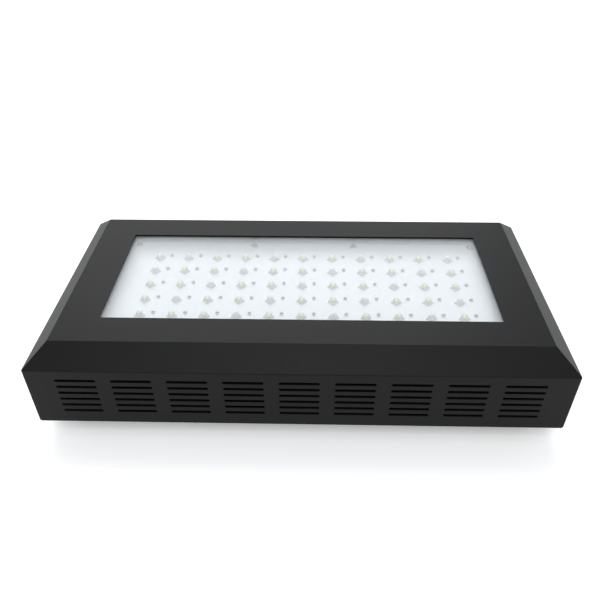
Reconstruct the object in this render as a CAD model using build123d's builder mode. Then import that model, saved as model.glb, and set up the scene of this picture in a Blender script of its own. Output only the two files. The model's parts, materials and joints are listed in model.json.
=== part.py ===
"""LED aquarium light: a vented sheet-metal housing over a finned light engine.

The light stands with its lit face up on four hanging lugs, as it is stored and
adjusted. +X runs along the housing, +Y from the edge with the switches to the
edge with the mains inlet, and +Z is the way the light shines. The origin is in
the middle of the footprint, on the surface that the lugs stand on.
"""

import os
from math import atan2, cos, pi, radians, sin, sqrt, tan

from build123d import *

os.makedirs("parts", exist_ok=True)

# ---------------------------------------------------------------- driving dimensions (mm)

# Housing
length = 400.0
depth = 212.0
wall_height = 51.2
bevel_rise = 14.4
bevel_run = 17.0
sheet = 1.2
corner_radius = 1.2
crease_round = 0.9
border_x = 30.6
border_y = 28.0
window_corner = 1.0
flange_width = 24.0

# Vent slots
slot_length = 30.0
slot_height = 2.5
slot_pitch_x = 40.75
slot_pitch_z = 6.1
slot_rows = 6
slot_margin = 15.0
slot_lift = 1.7

# Back panel and its lugs
panel_inset = 0.5
panel_screw_spread = 15.0
panel_screw_inset = 12.0
panel_screw_inset_y = 17.0
lug_height = 18.0
lug_inset_x = 20.0
lug_inset_y = 22.0
lug_sheet = 1.5
lug_width = 9.0
lug_foot = 14.0
lug_hole_radius = 2.5
lug_hole_height = 6.5
lug_tip_round = 2.4

# Light engine
spacer_inset_x = 26.0
spacer_inset_y = 22.0
spacer_wall = 13.8
spacer_corner = 3.0
inner_corner = 2.0
cover_thickness = 3.0
cover_margin = 10.0
cover_gap = 0.5
cover_chamfer = 0.3
gasket_thickness = 1.2
gasket_lip = 1.0
board_gap = 0.4
board_thickness = 1.6
base_thickness = 6.0
spacer_height = 13.2
fin_height = 20.0
fin_thickness = 2.0
fin_pitch = 8.5
fin_margin = 3.5
stud_radius = 2.0
stud_inset = 5.5
stud_columns = 5
stud_reach = 5.0

# LEDs and what is on their board
led_pitch_x = 25.6
led_pitch_y = 21.0
led_margin_x = 24.0
led_margin_y = 20.0
led_side = 6.2
led_body_height = 2.4
led_chamfer = 0.4
led_dome_radius = 2.8
chip_length = 3.2
chip_width = 2.6
chip_height = 1.4
chip_offset_x = 10.0
chip_offset_y = 3.7
board_screw_inset_x = 7.8
board_screw_inset_y = 5.8
board_screw_middle = 91.0

# Fans
fan_x = 45.0
fan_size = 80.0
fan_depth = 15.0
fan_corner = 4.0
fan_rim = 2.0
fan_hub_radius = 15.0
fan_blades = 7
fan_blade_chord = 15.0
fan_blade_angle = 32.0
fan_tip_gap = 1.2
fan_screw_inset = 4.25
fan_hub_plate = 2.5
fan_spokes = 4
fan_spoke_width = 4.0
fan_spoke_angle = 20.0
fan_blade_thickness = 1.2
fan_post_radius = 4.0
fan_post_start = 5.5
rotor_lift = 1.2
rotor_end_gap = 0.5
rotor_wall = 1.5
axle_radius = 1.5
axle_floor = 1.0
guard_wire = 0.8
guard_ring_pitch = 8.0
guard_disc_radius = 5.0
guard_eye_radius = 4.4
guard_edge_gap = 2.0
guard_bite = 0.3
guard_drop = 1.0

# Drivers
driver_gap = 20.0
driver_height = 22.0
driver_wall = 1.0
driver_clearance = 12.0
driver_flange_gap = 0.8
driver_screw_inset_x = 15.0
driver_screw_inset_y = 11.0
driver_board_stand = 4.0
driver_board_gap = 0.5
driver_board_hole_inset = 4.0
winding_height = 12.0

# Rocker switches
switch_inset_x = 38.0
switch_inset_y = 45.0
switch_bezel_radius = 11.5
switch_bezel_height = 2.0
switch_body_radius = 10.4
switch_body_depth = 18.0
switch_well_radius = 9.5
switch_well_depth = 8.0
rocker_gap = 0.35
rocker_half_height = 2.2
rocker_foot = 3.2
rocker_tilt = 12.0
rocker_pin_radius = 1.0
rocker_sink = 0.3
switch_bezel_round = 0.9
terminal_tab_width = 4.8
terminal_tab_thickness = 0.8
terminal_tab_reach = 5.5
terminal_tab_pitch = 5.0

# Dimmer knobs
dimmer_inset_x = 91.0
dimmer_inset_y = 38.0
dimmer_can_radius = 8.2
dimmer_can_height = 9.0
bushing_radius = 3.5
bushing_reach = 3.8
shaft_radius = 2.4
shaft_end_gap = 0.5
knob_radius = 7.75
knob_height = 12.4
knob_gap = 0.7
knob_skirt_radius = 6.3
knob_skirt_depth = 3.4
knob_flutes = 30
knob_flute_radius = 0.45
knob_ring_height = 1.6
cap_radius = 6.7
cap_depth = 1.7
cap_stand = 0.6
knob_chamfer = 0.5
ring_chamfer = 0.4
knob_floor = 3.0
dimmer_nut_radius = 5.48
dimmer_nut_height = 2.2
dimmer_bore_depth = 6.0
dimmer_can_round = 1.0

# Mains inlet
inlet_inset_x = 60.0
inlet_inset_y = 44.0
inlet_flange_length = 50.0
inlet_flange_width = 22.6
inlet_flange_height = 2.5
inlet_mouth_length = 24.8
inlet_mouth_width = 16.8
inlet_mouth_depth = 17.0
inlet_wall = 1.4
inlet_screw_pitch = 40.0
inlet_pin_pitch = 7.0
inlet_pin_width = 2.0
inlet_pin_length = 4.0
inlet_pin_shift = 2.0
inlet_pin_recess = 2.0
inlet_pin_reach = 8.0
inlet_floor = 3.0
inlet_mouth_chamfer = 4.0
terminal_length = 24.0
terminal_width = 16.0
terminal_height = 11.0
terminal_pitch = 8.0
terminal_bore_radius = 1.6
terminal_bore_height = 4.0
terminal_driver_gap = 10.0

# Hanging slings
sling_diameter = 1.5
loop_radius = 4.0
ferrule_radius = 1.7
ferrule_length = 7.4
ferrule_lap = 0.4

# Fasteners and fits
m3_radius = 1.5
m4_nut_radius = 4.04
m4_nut_height = 3.2
m4_washer_radius = 4.6
m3_nut_radius = 3.17
m3_nut_height = 2.4
pan_head_radius = 2.9
pan_head_height = 2.2
washer_thickness = 0.8
sheet_screw_reach = 6.0
driver_screw_reach = 4.0
fan_screw_reach = 10.0
inlet_screw_reach = 8.0
cross_width = 0.8
thread_gap = 0.05
hole_gap = 0.15
running_gap = 0.05
fit_gap = 0.1

# ---------------------------------------------------------------- worked-out places

flat_head_radius = m3_radius + sheet
half_length = length / 2
half_depth = depth / 2
panel_z = lug_height
inner_z = panel_z + sheet
crease_z = inner_z + wall_height
face_z = crease_z + bevel_rise
roof_z = face_z - sheet
window_half_x = half_length - bevel_run - border_x
window_half_y = half_depth - bevel_run - border_y

lug_x = half_length - lug_inset_x
lug_y = half_depth - lug_inset_y
lug_screw_x = lug_x + lug_foot / 2

spacer_half_x = half_length - spacer_inset_x
spacer_half_y = half_depth - spacer_inset_y
stud_x = spacer_half_x - stud_inset
stud_y = spacer_half_y - stud_inset
base_z = crease_z - base_thickness
board_top_z = crease_z + board_thickness
board_half_x = spacer_half_x - spacer_wall - board_gap
board_half_y = spacer_half_y - spacer_wall - board_gap
gasket_z = roof_z - gasket_thickness
cover_z = gasket_z - cover_thickness
rebate_half_x = spacer_half_x - cover_margin
rebate_half_y = spacer_half_y - cover_margin
cover_size = (2 * rebate_half_x - 2 * cover_gap, 2 * rebate_half_y - 2 * cover_gap)

led_columns = int((2 * board_half_x - 2 * led_margin_x) / led_pitch_x) + 1
led_rows = int((2 * board_half_y - 2 * led_margin_y) / led_pitch_y) + 1
vents_x = int((length - 2 * slot_margin) / slot_pitch_x)
vents_y = int((depth - 2 * slot_margin) / slot_pitch_x)
vent_z = (panel_z + crease_z) / 2 + slot_lift

switch_x = half_length - switch_inset_x
switch_y = -half_depth + switch_inset_y
dimmer_x = half_length - dimmer_inset_x
dimmer_y = -half_depth + dimmer_inset_y
inlet_x = half_length - inlet_inset_x
inlet_y = half_depth - inlet_inset_y
fan_bore_radius = fan_size / 2 - fan_rim
fan_screw_pitch = fan_size - 2 * fan_screw_inset
guard_room = fan_bore_radius - guard_edge_gap - guard_disc_radius - 2 * guard_wire
guard_rings = int(guard_room / guard_ring_pitch) + 1
driver_near_x = fan_x + fan_size / 2 + driver_gap
driver_far_x = half_length - sheet - flange_width - driver_flange_gap
driver_low_y = switch_y + switch_body_radius + driver_clearance
driver_high_y = inlet_y - inlet_mouth_width / 2 - inlet_wall - driver_clearance
driver_mid_x = (driver_near_x + driver_far_x) / 2
driver_mid_y = (driver_low_y + driver_high_y) / 2
driver_length = driver_far_x - driver_near_x
driver_width = driver_high_y - driver_low_y

stud_places = GridLocations(2 * stud_x / (stud_columns - 1), 2 * stud_y, stud_columns, 2).locations
board_screw_x = board_half_x - board_screw_inset_x
board_screw_y = board_half_y - board_screw_inset_y
panel_screw_x = dimmer_x + panel_screw_spread
panel_screw_y = half_depth - panel_screw_inset_y
panel_screw_places = [
    (x, y) for x in (-panel_screw_x, 0, panel_screw_x) for y in (-panel_screw_y, panel_screw_y)
]
panel_screw_places += [(side * (half_length - panel_screw_inset), 0) for side in (-1, 1)]
board_screw_places = [
    (x, y)
    for x in (-board_screw_x, -board_screw_middle / 2, board_screw_middle / 2, board_screw_x)
    for y in (-board_screw_y, board_screw_y)
]
driver_screw_places = [
    (side * x, y)
    for side in (1, -1)
    for x, y in (
        (driver_near_x + driver_screw_inset_x, driver_low_y + driver_screw_inset_y),
        (driver_far_x - driver_screw_inset_x, driver_high_y - driver_screw_inset_y),
    )
]
lug_places = [(x, y) for x in (-lug_x, lug_x) for y in (-lug_y, lug_y)]
lug_screw_places = [(x, y) for x in (-lug_screw_x, lug_screw_x) for y in (-lug_y, lug_y)]
inlet_screw_places = [(inlet_x + side * inlet_screw_pitch / 2, inlet_y) for side in (-1, 1)]
channels = (("blue", 1), ("white", -1))
fans = (("right", 1), ("left", -1))
bottom_centre = (Align.CENTER, Align.CENTER, Align.MIN)
top_centre = (Align.CENTER, Align.CENTER, Align.MAX)


def led_place(column, row):
    """Centre of one LED, counted from the low corner of the board."""
    return (
        (column - (led_columns - 1) / 2) * led_pitch_x,
        (row - (led_rows - 1) / 2) * led_pitch_y,
    )


def is_blue(column, row):
    """Every third LED along a row is blue, one place further on in the next row."""
    return (column - row) % 3 == 0


led_cells = [(column, row) for row in range(led_rows) for column in range(led_columns)]
led_places = [led_place(*cell) for cell in led_cells]
blue_places = [led_place(*cell) for cell in led_cells if is_blue(*cell)]
white_places = [led_place(*cell) for cell in led_cells if not is_blue(*cell)]


def facing_down(places, z):
    """Planes that look down at each (x, y), for what is fitted from below."""
    return [Plane(origin=(x, y, z), x_dir=(1, 0, 0), z_dir=(0, 0, -1)) for x, y in places]


def pan_screw(reach):
    """An M3 pan-head cross screw, with its head above its seat at z = 0."""
    with BuildPart() as screw:
        Cylinder(m3_radius, reach, align=top_centre)
        Cylinder(pan_head_radius, pan_head_height, align=bottom_centre)
        fillet(screw.faces().sort_by(Axis.Z)[-1].edges(), 0.6 * pan_head_height)
        with BuildSketch(Plane.XY.offset(pan_head_height)):
            Rectangle(pan_head_radius * 1.2, cross_width)
            Rectangle(cross_width, pan_head_radius * 1.2)
        extrude(amount=-pan_head_height * 0.5, mode=Mode.SUBTRACT)
    return screw.part


def flat_screw(reach):
    """An M3 countersunk cross screw, with its flat head level with z = 0."""
    with BuildPart() as screw:
        Cylinder(m3_radius, reach, align=top_centre)
        Cone(m3_radius, flat_head_radius, flat_head_radius - m3_radius, align=top_centre)
        with BuildSketch(Plane.XY):
            Rectangle(flat_head_radius * 1.2, cross_width)
            Rectangle(cross_width, flat_head_radius * 1.2)
        extrude(amount=-flat_head_radius / 3, mode=Mode.SUBTRACT)
    return screw.part


def hex_nut(corner_radius, bore_radius, height):
    """A hexagon nut standing on z = 0."""
    with BuildPart() as nut:
        with BuildSketch():
            RegularPolygon(corner_radius, 6)
            Circle(bore_radius, mode=Mode.SUBTRACT)
        extrude(amount=height)
    return nut.part


# ---------------------------------------------------------------- housing

with BuildPart() as housing_shell:
    with BuildSketch(Plane.XY.offset(inner_z)):
        RectangleRounded(length, depth, corner_radius)
    extrude(amount=wall_height)
    with BuildSketch(Plane.XY.offset(crease_z)):
        RectangleRounded(length, depth, corner_radius)
    with BuildSketch(Plane.XY.offset(face_z)):
        RectangleRounded(length - 2 * bevel_run, depth - 2 * bevel_run, corner_radius)
    loft()
    crease_edges = housing_shell.edges().filter_by_position(Axis.Z, crease_z, crease_z)
    face_edges = housing_shell.edges().filter_by_position(Axis.Z, face_z, face_z)
    fillet(crease_edges + face_edges, crease_round)
    # The inside follows the outside one sheet in: the bevel's crease drops a little.
    bevel_angle = atan2(bevel_rise, bevel_run)
    crease_drop = sheet * tan((radians(90) - bevel_angle) / 2)
    bevel_shift = sheet / sin(bevel_angle) - sheet / tan(bevel_angle)
    inside = (length - 2 * sheet, depth - 2 * sheet)
    roof = (
        length - 2 * bevel_run - 2 * bevel_shift,
        depth - 2 * bevel_run - 2 * bevel_shift,
    )
    inside_radius = corner_radius / 4
    with BuildSketch(Plane.XY.offset(inner_z)):
        RectangleRounded(*inside, inside_radius)
    extrude(amount=wall_height - crease_drop, mode=Mode.SUBTRACT)
    with BuildSketch(Plane.XY.offset(crease_z - crease_drop)):
        RectangleRounded(*inside, inside_radius)
    with BuildSketch(Plane.XY.offset(roof_z)):
        RectangleRounded(*roof, inside_radius)
    loft(mode=Mode.SUBTRACT)
    with BuildSketch(Plane.XY.offset(inner_z)):
        Rectangle(*inside)
        Rectangle(inside[0] - 2 * flange_width, inside[1] - 2 * flange_width, mode=Mode.SUBTRACT)
        with Locations(*panel_screw_places, *lug_screw_places):
            Circle(m3_radius + thread_gap, mode=Mode.SUBTRACT)
    extrude(amount=sheet)
    with BuildSketch(Plane.XY.offset(roof_z)):
        RectangleRounded(2 * window_half_x, 2 * window_half_y, window_corner)
    extrude(amount=sheet, mode=Mode.SUBTRACT)
    with BuildSketch(Plane(origin=(0, 0, vent_z), x_dir=(1, 0, 0), z_dir=(0, -1, 0))):
        with GridLocations(slot_pitch_x, slot_pitch_z, vents_x, slot_rows):
            SlotOverall(slot_length, slot_height)
    extrude(amount=depth, both=True, mode=Mode.SUBTRACT)
    with BuildSketch(Plane(origin=(0, 0, vent_z), x_dir=(0, 1, 0), z_dir=(1, 0, 0))):
        with GridLocations(slot_pitch_x, slot_pitch_z, vents_y, slot_rows):
            SlotOverall(slot_length, slot_height)
    extrude(amount=length, both=True, mode=Mode.SUBTRACT)
housing_shell.part.label = "housing_shell"
export_step(housing_shell.part, "parts/housing_shell.step")

with BuildPart() as back_panel:
    with BuildSketch(Plane.XY.offset(panel_z)):
        RectangleRounded(length - 2 * panel_inset, depth - 2 * panel_inset, corner_radius)
        with Locations((fan_x, 0), (-fan_x, 0)):
            Circle(fan_bore_radius, mode=Mode.SUBTRACT)
            with GridLocations(fan_screw_pitch, fan_screw_pitch, 2, 2):
                Circle(m3_radius + hole_gap, mode=Mode.SUBTRACT)
        with Locations((switch_x, switch_y), (-switch_x, switch_y)):
            Circle(switch_body_radius + hole_gap, mode=Mode.SUBTRACT)
        with Locations((dimmer_x, dimmer_y), (-dimmer_x, dimmer_y)):
            Circle(bushing_radius + hole_gap, mode=Mode.SUBTRACT)
        with Locations((inlet_x, inlet_y)):
            Rectangle(
                inlet_mouth_length + 2 * inlet_wall + 2 * hole_gap,
                inlet_mouth_width + 2 * inlet_wall + 2 * hole_gap,
                mode=Mode.SUBTRACT,
            )
        with Locations(*inlet_screw_places, *driver_screw_places, *lug_screw_places):
            Circle(m3_radius + hole_gap, mode=Mode.SUBTRACT)
    extrude(amount=sheet)
    with Locations(*facing_down(panel_screw_places, panel_z)):
        CounterSinkHole(m3_radius + hole_gap, flat_head_radius + fit_gap, counter_sink_angle=90)
back_panel.part.label = "back_panel"
export_step(back_panel.part, "parts/back_panel.step")

with BuildPart() as panel_screws:
    with Locations(*facing_down(panel_screw_places, panel_z)):
        add(flat_screw(sheet_screw_reach))
panel_screws.part.label = "panel_screws"
export_step(panel_screws.part, "parts/panel_screws.step")

# ---------------------------------------------------------------- hanging lugs and slings

with BuildPart() as lug:
    with BuildSketch(Plane.YZ.offset(-lug_sheet / 2)) as ear:
        with Locations((0, lug_height / 2)):
            Rectangle(lug_width, lug_height)
        fillet(ear.vertices().group_by(Axis.Y)[0], lug_tip_round)
        with Locations((0, lug_hole_height)):
            Circle(lug_hole_radius, mode=Mode.SUBTRACT)
    extrude(amount=lug_sheet)
    with BuildSketch(Plane.XY.offset(lug_height)) as foot:
        with Locations((-lug_sheet / 2, 0)):
            Rectangle(lug_foot + lug_sheet / 2, lug_width, align=(Align.MIN, Align.CENTER))
        fillet(foot.vertices().group_by(Axis.X)[-1], lug_tip_round)
        with Locations((lug_foot / 2, 0)):
            Circle(m3_radius + hole_gap, mode=Mode.SUBTRACT)
    extrude(amount=-lug_sheet)
    outer_bend = lug.edges().filter_by(Axis.Y).group_by(Axis.Z)[-1].sort_by(Axis.X)[0]
    fillet(outer_bend, lug_sheet * 0.9)

with BuildPart() as hanging_lugs:
    with Locations(*[Location((x, y, 0), (0, 0, 0 if x > 0 else 180)) for x, y in lug_places]):
        add(lug.part)
hanging_lugs.part.label = "hanging_lugs"
export_step(hanging_lugs.part, "parts/hanging_lugs.step")

with BuildPart() as lug_screws:
    with Locations(*facing_down(lug_screw_places, panel_z - lug_sheet)):
        add(pan_screw(sheet_screw_reach))
lug_screws.part.label = "lug_screws"
export_step(lug_screws.part, "parts/lug_screws.step")

# Each sling ends in a loop through a lug's hole, closed by a crimped ferrule. The
# angle is the way the rope leaves that lug, seen from above.
rope_angles = {(1, -1): 150.0, (1, 1): 170.0, (-1, -1): 28.0, (-1, 1): 8.0}
ferrule_start = loop_radius - ferrule_lap
loop_ends = []
for (side_x, side_y), angle in rope_angles.items():
    centre = Vector(side_x * lug_x, side_y * (lug_y - loop_radius), lug_hole_height)
    loop_ends.append((centre, Vector(cos(radians(angle)), sin(radians(angle)), 0)))

with BuildPart() as sling_eyes:
    with Locations(*[centre for centre, _ in loop_ends]):
        Torus(loop_radius, sling_diameter / 2)
sling_eyes.part.label = "sling_eyes"
export_step(sling_eyes.part, "parts/sling_eyes.step")

with BuildPart() as sling_ferrules:
    for centre, direction in loop_ends:
        with BuildSketch(Plane(origin=centre + direction * ferrule_start, z_dir=direction)):
            Circle(ferrule_radius)
        extrude(amount=ferrule_length)
sling_ferrules.part.label = "sling_ferrules"
export_step(sling_ferrules.part, "parts/sling_ferrules.step")

# The ropes lie on the surface under the light. Points are chosen by hand.
sling_right_route = [
    (170.47, -74.5, 6.5),
    (165.7, -71.75, 6.2),
    (157.1, -66.8, 2.9),
    (145.0, -59.3, 0.8),
    (124.0, -42.0, 0.8),
    (100.0, -15.0, 0.8),
    (70.0, 12.0, 0.8),
    (36.0, 32.0, 0.8),
    (12.0, 58.0, 0.8),
    (21.0, 88.0, 0.8),
    (52.0, 95.0, 0.8),
    (86.0, 90.0, 0.8),
    (117.0, 91.5, 0.8),
    (142.0, 87.4, 0.8),
    (155.2, 84.7, 2.9),
    (163.9, 82.9, 6.2),
    (169.17, 81.91, 6.5),
]
sling_left_route = [
    (-170.29, -74.84, 6.5),
    (-165.4, -72.25, 6.2),
    (-156.6, -67.7, 2.9),
    (-144.0, -61.6, 0.8),
    (-121.0, -48.0, 0.8),
    (-92.0, -26.0, 0.8),
    (-62.0, -6.0, 0.8),
    (-40.0, 20.0, 0.8),
    (-38.0, 52.0, 0.8),
    (-60.0, 78.0, 0.8),
    (-92.0, 84.0, 0.8),
    (-122.0, 88.0, 0.8),
    (-143.0, 86.0, 0.8),
    (-155.2, 83.7, 2.9),
    (-163.7, 82.25, 6.2),
    (-169.11, 81.53, 6.5),
]


def corner_radii(points):
    """Arc radius at each corner of a rope's route, as large as its two runs allow."""
    places = [Vector(*point) for point in points]
    radii = []
    for before, corner, after in zip(places, places[1:], places[2:]):
        run_in = corner - before
        run_out = after - corner
        half_turn = radians(run_in.get_angle(run_out)) / 2
        radii.append(0.45 * min(run_in.length, run_out.length) / tan(half_turn))
    return radii


for side, route in (("right", sling_right_route), ("left", sling_left_route)):
    bends = corner_radii(route)
    with BuildPart() as sling:
        with BuildLine() as path:
            FilletPolyline(*route, radius=bends)
        with BuildSketch(Plane(origin=path.line @ 0, z_dir=path.line % 0)):
            Circle(sling_diameter / 2)
        sweep()
    rope_length = path.wires()[0].length
    rope_section = pi * (sling_diameter / 2) ** 2
    print(f"sling_{side}: {rope_length:.1f} mm, smallest bend {min(bends):.1f} mm,",
          f"volume {sling.part.volume / (rope_section * rope_length):.4f} of section times length")
    sling.part.label = f"sling_{side}"
    export_step(sling.part, f"parts/sling_{side}.step")

# ---------------------------------------------------------------- light engine

with BuildPart() as clear_cover:
    with BuildSketch(Plane.XY.offset(cover_z)):
        RectangleRounded(*cover_size, inner_corner)
    extrude(amount=cover_thickness)
    chamfer(clear_cover.faces().sort_by(Axis.Z)[-1].edges(), cover_chamfer)
clear_cover.part.label = "clear_cover"
export_step(clear_cover.part, "parts/clear_cover.step")

with BuildPart() as cover_gasket:
    with BuildSketch(Plane.XY.offset(gasket_z)):
        RectangleRounded(*cover_size, inner_corner)
        RectangleRounded(
            2 * window_half_x + 2 * gasket_lip,
            2 * window_half_y + 2 * gasket_lip,
            window_corner,
            mode=Mode.SUBTRACT,
        )
    extrude(amount=gasket_thickness)
cover_gasket.part.label = "cover_gasket"
export_step(cover_gasket.part, "parts/cover_gasket.step")

with BuildPart() as spacer_frame:
    with BuildSketch(Plane.XY.offset(crease_z)):
        RectangleRounded(2 * spacer_half_x, 2 * spacer_half_y, spacer_corner)
        RectangleRounded(
            2 * spacer_half_x - 2 * spacer_wall,
            2 * spacer_half_y - 2 * spacer_wall,
            inner_corner,
            mode=Mode.SUBTRACT,
        )
        with Locations(stud_places):
            Circle(stud_radius + hole_gap, mode=Mode.SUBTRACT)
    extrude(amount=spacer_height)
    with BuildSketch(Plane.XY.offset(cover_z)):
        RectangleRounded(2 * rebate_half_x, 2 * rebate_half_y, inner_corner)
    extrude(amount=roof_z - cover_z, mode=Mode.SUBTRACT)
spacer_frame.part.label = "spacer_frame"
export_step(spacer_frame.part, "parts/spacer_frame.step")

with BuildPart() as heat_sink:
    with BuildSketch(Plane.XY.offset(base_z)):
        RectangleRounded(2 * spacer_half_x, 2 * spacer_half_y, spacer_corner)
        with Locations(stud_places):
            Circle(stud_radius + hole_gap, mode=Mode.SUBTRACT)
    extrude(amount=base_thickness)
    fin_half_y = stud_y - m4_washer_radius - fin_margin
    fin_count = int((2 * fin_half_y - fin_thickness) / fin_pitch) + 1
    with BuildSketch(Plane.XY.offset(base_z)):
        with GridLocations(1, fin_pitch, 1, fin_count):
            Rectangle(2 * spacer_half_x, fin_thickness)
    extrude(amount=-fin_height)
    with BuildSketch(Plane.XY.offset(crease_z)):
        with Locations(*board_screw_places):
            Circle(m3_radius + thread_gap)
    extrude(amount=-base_thickness, mode=Mode.SUBTRACT)
heat_sink.part.label = "heat_sink"
export_step(heat_sink.part, "parts/heat_sink.step")

with BuildPart() as weld_studs:
    with BuildSketch(Plane.XY.offset(roof_z)):
        with Locations(stud_places):
            Circle(stud_radius)
    extrude(amount=base_z - stud_reach - roof_z)
weld_studs.part.label = "weld_studs"
export_step(weld_studs.part, "parts/weld_studs.step")

with BuildPart() as stud_washers:
    with BuildSketch(Plane.XY.offset(base_z)):
        with Locations(stud_places):
            Circle(m4_washer_radius)
            Circle(stud_radius + hole_gap, mode=Mode.SUBTRACT)
    extrude(amount=-washer_thickness)
stud_washers.part.label = "stud_washers"
export_step(stud_washers.part, "parts/stud_washers.step")

with BuildPart() as stud_nuts:
    with Locations(*[Location((x.position.X, x.position.Y, base_z - washer_thickness - m4_nut_height))
                     for x in stud_places]):
        add(hex_nut(m4_nut_radius, stud_radius + thread_gap, m4_nut_height))
stud_nuts.part.label = "stud_nuts"
export_step(stud_nuts.part, "parts/stud_nuts.step")

with BuildPart() as led_board:
    with BuildSketch(Plane.XY.offset(crease_z)):
        RectangleRounded(2 * board_half_x, 2 * board_half_y, inner_corner)
        with Locations(*board_screw_places):
            Circle(m3_radius + hole_gap, mode=Mode.SUBTRACT)
    extrude(amount=board_thickness)
led_board.part.label = "led_board"
export_step(led_board.part, "parts/led_board.step")

with BuildPart() as board_screws:
    with Locations(*[(x, y, board_top_z) for x, y in board_screw_places]):
        add(pan_screw(sheet_screw_reach))
board_screws.part.label = "board_screws"
export_step(board_screws.part, "parts/board_screws.step")

with BuildPart() as led_bodies:
    with BuildSketch(Plane.XY.offset(board_top_z)):
        with Locations(*led_places):
            Rectangle(led_side, led_side, rotation=45)
    extrude(amount=led_body_height)
    chamfer(led_bodies.faces().filter_by(Axis.Z).group_by(Axis.Z)[-1].edges(), led_chamfer)
led_bodies.part.label = "led_bodies"
export_step(led_bodies.part, "parts/led_bodies.step")

for tint, places in (("white", white_places), ("blue", blue_places)):
    with BuildPart() as led_domes:
        with Locations(*[(x, y, board_top_z + led_body_height) for x, y in places]):
            Sphere(led_dome_radius, arc_size1=0, align=bottom_centre)
    led_domes.part.label = f"led_domes_{tint}"
    export_step(led_domes.part, f"parts/led_domes_{tint}.step")

with BuildPart() as bypass_chips:
    with BuildSketch(Plane.XY.offset(board_top_z)):
        with Locations(*[(x + chip_offset_x, y + chip_offset_y) for x, y in led_places]):
            Rectangle(chip_width, chip_length)
    extrude(amount=chip_height)
bypass_chips.part.label = "bypass_chips"
export_step(bypass_chips.part, "parts/bypass_chips.step")

# ---------------------------------------------------------------- LED drivers

for tint, side in channels:
    with BuildPart() as driver_case:
        with BuildSketch(Plane.XY.offset(inner_z)):
            with Locations((side * driver_mid_x, driver_mid_y)):
                Rectangle(driver_length, driver_width)
            with Locations(*[place for place in driver_screw_places if place[0] * side > 0]):
                Circle(m3_radius + thread_gap, mode=Mode.SUBTRACT)
        extrude(amount=driver_wall)
        with BuildSketch(Plane.XY.offset(inner_z + driver_wall)):
            with Locations((side * driver_mid_x, driver_mid_y)):
                Rectangle(driver_length, driver_width)
                Rectangle(
                    driver_length - 2 * driver_wall,
                    driver_width - 2 * driver_wall,
                    mode=Mode.SUBTRACT,
                )
        extrude(amount=driver_height - 2 * driver_wall)
    driver_case.part.label = f"driver_{tint}_case"
    export_step(driver_case.part, f"parts/driver_{tint}_case.step")

    with BuildPart() as driver_lid:
        with BuildSketch(Plane.XY.offset(inner_z + driver_height - driver_wall)):
            with Locations((side * driver_mid_x, driver_mid_y)):
                Rectangle(driver_length, driver_width)
        extrude(amount=driver_wall)
        with BuildSketch(Plane.XY.offset(inner_z + driver_height - driver_wall)):
            with Locations((side * driver_mid_x, driver_mid_y)):
                Rectangle(
                    driver_length - 2 * driver_wall - 2 * fit_gap,
                    driver_width - 2 * driver_wall - 2 * fit_gap,
                )
                Rectangle(
                    driver_length - 4 * driver_wall,
                    driver_width - 4 * driver_wall,
                    mode=Mode.SUBTRACT,
                )
        extrude(amount=-2 * driver_wall)
    driver_lid.part.label = f"driver_{tint}_lid"
    export_step(driver_lid.part, f"parts/driver_{tint}_lid.step")

driver_board_z = inner_z + driver_wall + driver_board_stand
driver_board_length = driver_length - 2 * driver_wall - 2 * driver_board_gap
driver_board_width = driver_width - 2 * driver_wall - 2 * driver_board_gap
driver_board_holes = (
    driver_board_length - 2 * driver_board_hole_inset,
    driver_board_width - 2 * driver_board_hole_inset,
)
with BuildPart() as driver_boards:
    with BuildSketch(Plane.XY.offset(driver_board_z)):
        with Locations((driver_mid_x, driver_mid_y), (-driver_mid_x, driver_mid_y)):
            Rectangle(driver_board_length, driver_board_width)
            with GridLocations(*driver_board_holes, 2, 2):
                Circle(m3_radius, mode=Mode.SUBTRACT)
    extrude(amount=board_thickness)
driver_boards.part.label = "driver_boards"
export_step(driver_boards.part, "parts/driver_boards.step")

# Transformer and smoothing capacitor on each driver board.
with BuildPart() as driver_windings:
    with Locations((driver_mid_x, driver_mid_y), (-driver_mid_x, driver_mid_y)):
        with Locations((0, driver_width / 8, driver_board_z + board_thickness)):
            Box(driver_length / 3, driver_width / 4, winding_height, align=bottom_centre)
        with Locations((0, -driver_width / 4, driver_board_z + board_thickness)):
            Cylinder(driver_length / 12, winding_height, align=bottom_centre)
driver_windings.part.label = "driver_windings"
export_step(driver_windings.part, "parts/driver_windings.step")

with BuildPart() as driver_screws:
    with Locations(*facing_down(driver_screw_places, panel_z)):
        add(pan_screw(driver_screw_reach))
driver_screws.part.label = "driver_screws"
export_step(driver_screws.part, "parts/driver_screws.step")

# ---------------------------------------------------------------- fans

hub_floor_z = inner_z + fan_depth - fan_hub_plate
rotor_low_z = inner_z + rotor_lift
rotor_high_z = hub_floor_z - rotor_end_gap
axle_end_z = inner_z + fan_depth - axle_floor - rotor_end_gap
# The blade is a flat plate, so its corners reach past its middle by the chord's sagitta.
blade_reach = fan_bore_radius - fan_tip_gap
blade_half_chord = fan_blade_chord / 2 * cos(radians(fan_blade_angle))
blade_tip = sqrt(blade_reach**2 - blade_half_chord**2)
blade_root = sqrt((fan_hub_radius - rotor_wall / 2) ** 2 - blade_half_chord**2)

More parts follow.
